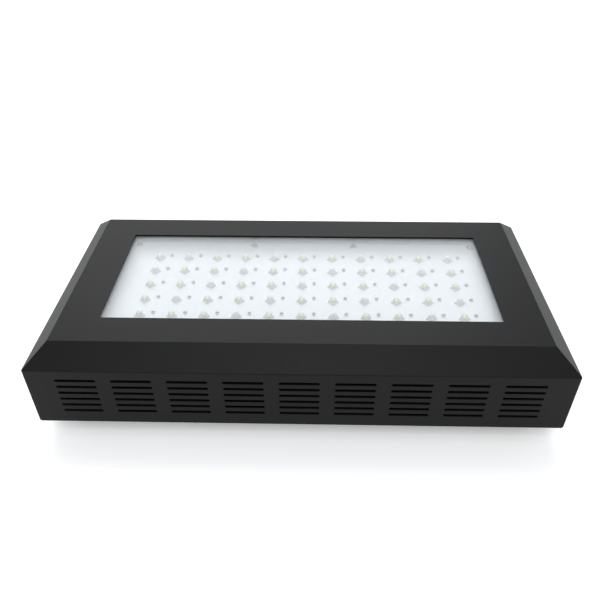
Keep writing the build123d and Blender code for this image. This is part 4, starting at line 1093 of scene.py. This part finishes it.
# %% Dial dots and signs
DOTS = 16
DIAL_RADIUS = 13.6 * MM
FIRST_STEP = radians(15.0)
STEP_GROWTH = radians(0.607)
DOT_RADII = (0.85 * MM, 1.55 * MM)


def dial_tree():
    """Flat dots on an arc; the step between them and their size grow from first to last."""
    tree, given = start_tree(
        "dial_dots",
        [("Count", "Int"), ("Arc radius", "Float"), ("First angle", "Float"),
         ("First step", "Float"), ("Step growth", "Float"), ("First dot", "Float"),
         ("Last dot", "Float"), ("Thickness", "Float"), ("Material", "Material")],
    )
    known = {socket.name: socket for socket in given}
    known["Index"] = add_node(tree, "GeometryNodeInputIndex").outputs[0]
    for result, operation, first, second in (
        ("Before", "SUBTRACT", "Index", 1.0),
        ("Doubled pairs", "MULTIPLY", "Index", "Before"),
        ("Pairs", "MULTIPLY", "Doubled pairs", 0.5),
        ("Even part", "MULTIPLY", "Index", "First step"),
        ("Grown part", "MULTIPLY", "Pairs", "Step growth"),
        ("Both parts", "ADD", "Even part", "Grown part"),
        ("Angle", "ADD", "First angle", "Both parts"),
        ("Sine", "SINE", "Angle", 0.0),
        ("Cosine", "COSINE", "Angle", 0.0),
        ("Across", "MULTIPLY", "Sine", "Arc radius"),
        ("Up", "MULTIPLY", "Cosine", "Arc radius"),
        ("Down", "MULTIPLY", "Up", -1.0),
        ("Last", "SUBTRACT", "Count", 1.0),
    ):
        numbers = {0: known.get(first, first), 1: known.get(second, second)}
        known[result] = add_node(tree, "ShaderNodeMath", numbers, operation=operation).outputs[0]
    place = add_node(tree, "ShaderNodeCombineXYZ", {"X": known["Across"], "Y": known["Down"]})
    size = add_node(
        tree, "ShaderNodeMapRange",
        {"Value": known["Index"], 2: known["Last"], 3: given["First dot"], 4: given["Last dot"]},
    ).outputs[0]
    points = add_node(
        tree, "GeometryNodePoints", {"Count": given["Count"], "Position": place.outputs[0]},
    ).outputs[0]
    disc = add_node(
        tree, "GeometryNodeMeshCylinder",
        {"Vertices": 24, "Radius": 1.0, "Depth": given["Thickness"]},
    ).outputs[0]
    scale = add_node(tree, "ShaderNodeCombineXYZ", {"X": size, "Y": size, "Z": 1.0}).outputs[0]
    dots = add_node(
        tree, "GeometryNodeInstanceOnPoints", {"Points": points, "Instance": disc, "Scale": scale},
    )
    end_tree(tree, dots.outputs[0], given["Material"])
    return tree


DIAL = dial_tree()
panel_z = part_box("back_panel")[0].z
sign_size = 3.4 * MM
sign_bar = 0.75 * MM
sign_x = 1.06 * DIAL_RADIUS
sign_y = -1.08 * DIAL_RADIUS
spot_radius = 1.9 * MM
spot_y = -1.5 * DIAL_RADIUS
for tint, _, _, channel_ink in CHANNELS:
    centre = knob_centre(tint)
    on_panel = Matrix.Translation((centre.x, centre.y, panel_z - INK / 2))
    dots = bake(DIAL, bpy.data.meshes.new("start"), {
        "Count": DOTS, "Arc radius": DIAL_RADIUS, "First angle": POINTER_ANGLE,
        "First step": FIRST_STEP, "Step growth": STEP_GROWTH, "First dot": DOT_RADII[0],
        "Last dot": DOT_RADII[1], "Thickness": INK, "Material": WHITE_INK,
    })
    dots.transform(on_panel)
    add_piece(f"{tint}_dial_dots", dots, WHITE_INK)
    signs = [slab((sign_size, sign_bar, INK), (side * sign_x, sign_y, 0)) for side in (1, -1)]
    signs.append(slab((sign_bar, sign_size, INK * 0.98), (-sign_x, sign_y, 0)))
    add_piece(f"{tint}_dial_signs", joined("signs", signs, on_panel), WHITE_INK)
    spot = lathe([(0, -INK / 2), (spot_radius, -INK / 2), (spot_radius, INK / 2), (0, INK / 2)], 32)
    spot.transform(Matrix.Translation((0, spot_y, 0)))
    add_piece(f"{tint}_channel_mark", joined("spot", [spot], on_panel), channel_ink)

# %% [markdown]
# ## Fans
# Behind each wire guard is a fan whose blades are twisted and bowed. A blade is a grid of
# points whose angle falls from hub to tip, given a thickness, and the copies tree turns it
# seven times round the hub. The hub is a cup turned on the lathe.

# %% Fan hubs and blades
BLADES = 7
HUB_RADIUS = 15.0 * MM
HUB_WALL = 1.5 * MM
HUB_FLOOR = 1.6 * MM
HUB_SETBACK = 3.0 * MM
AXLE_RADIUS = 1.5 * MM
BLADE_THICKNESS = 1.1 * MM
BLADE_BOW = 2.2
BLADE_SWEEP = 1.2 * MM


def fan_blade(reach, middle_z):
    """One blade along +X, bowed and swept: steep and short at the hub, flatter and longer out."""
    rows = 9
    columns = 8
    solid = bmesh.new()
    grid = []
    root = HUB_RADIUS - 0.7 * MM
    tip = 0.955 * reach
    for row in range(rows):
        out = row / (rows - 1)
        radius = root + (tip - root) * out
        chord = (11.5 + 5.5 * out) * MM
        slope = radians(44 - 20 * out)
        line = []
        for column in range(columns):
            along = column / (columns - 1) - 0.5
            bow = (0.25 - along * along) * BLADE_BOW * MM
            sideways = along * chord * cos(slope) + BLADE_SWEEP * out - bow * sin(slope)
            upward = along * chord * sin(slope) + bow * cos(slope)
            outward = sqrt(radius ** 2 - sideways ** 2)
            line.append(solid.verts.new((outward, sideways, middle_z + upward)))
        grid.append(line)
    for near, far in zip(grid, grid[1:]):
        for k in range(columns - 1):
            solid.faces.new((near[k], far[k], far[k + 1], near[k + 1]))
    bmesh.ops.recalc_face_normals(solid, faces=solid.faces)
    bmesh.ops.solidify(solid, geom=solid.faces, thickness=BLADE_THICKNESS)
    bmesh.ops.recalc_face_normals(solid, faces=solid.faces)
    return joined("blade", [solid])


for side in ("left", "right"):
    node = f"fan_{side}_rotor"
    low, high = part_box(node)
    frame_low, frame_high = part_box(f"fan_{side}_frame")
    centre = (frame_low + frame_high) / 2
    hub_top = frame_high.z - HUB_SETBACK - low.z
    axle_top = high.z - low.z
    hub = lathe([
        (0, 0.35 * MM), (5 * MM, 0.35 * MM), (5.3 * MM, 0), (HUB_RADIUS - 1.6 * MM, 0),
        (HUB_RADIUS - 0.5 * MM, 0.4 * MM), (HUB_RADIUS, 1.5 * MM), (HUB_RADIUS, hub_top),
        (HUB_RADIUS - HUB_WALL, hub_top), (HUB_RADIUS - HUB_WALL, HUB_FLOOR),
        (AXLE_RADIUS, HUB_FLOOR), (AXLE_RADIUS, axle_top), (0, axle_top),
    ], 64)
    place = Matrix.Translation((centre.x, centre.y, low.z))
    add_piece(f"{side}_fan_hub", joined("hub", [hub], place), FAN_PLASTIC,
              body=f"rotor_{side}", stands_for=[node])
    blade = fan_blade(high.y - centre.y, hub_top / 2)
    turns = [2 * pi * k / BLADES for k in range(BLADES)]
    blades = copies(blade, [(centre.x, centre.y, low.z)] * BLADES, FAN_PLASTIC, turns=turns)
    add_piece(f"{side}_fan_blades", blades, FAN_PLASTIC, body=f"rotor_{side}")
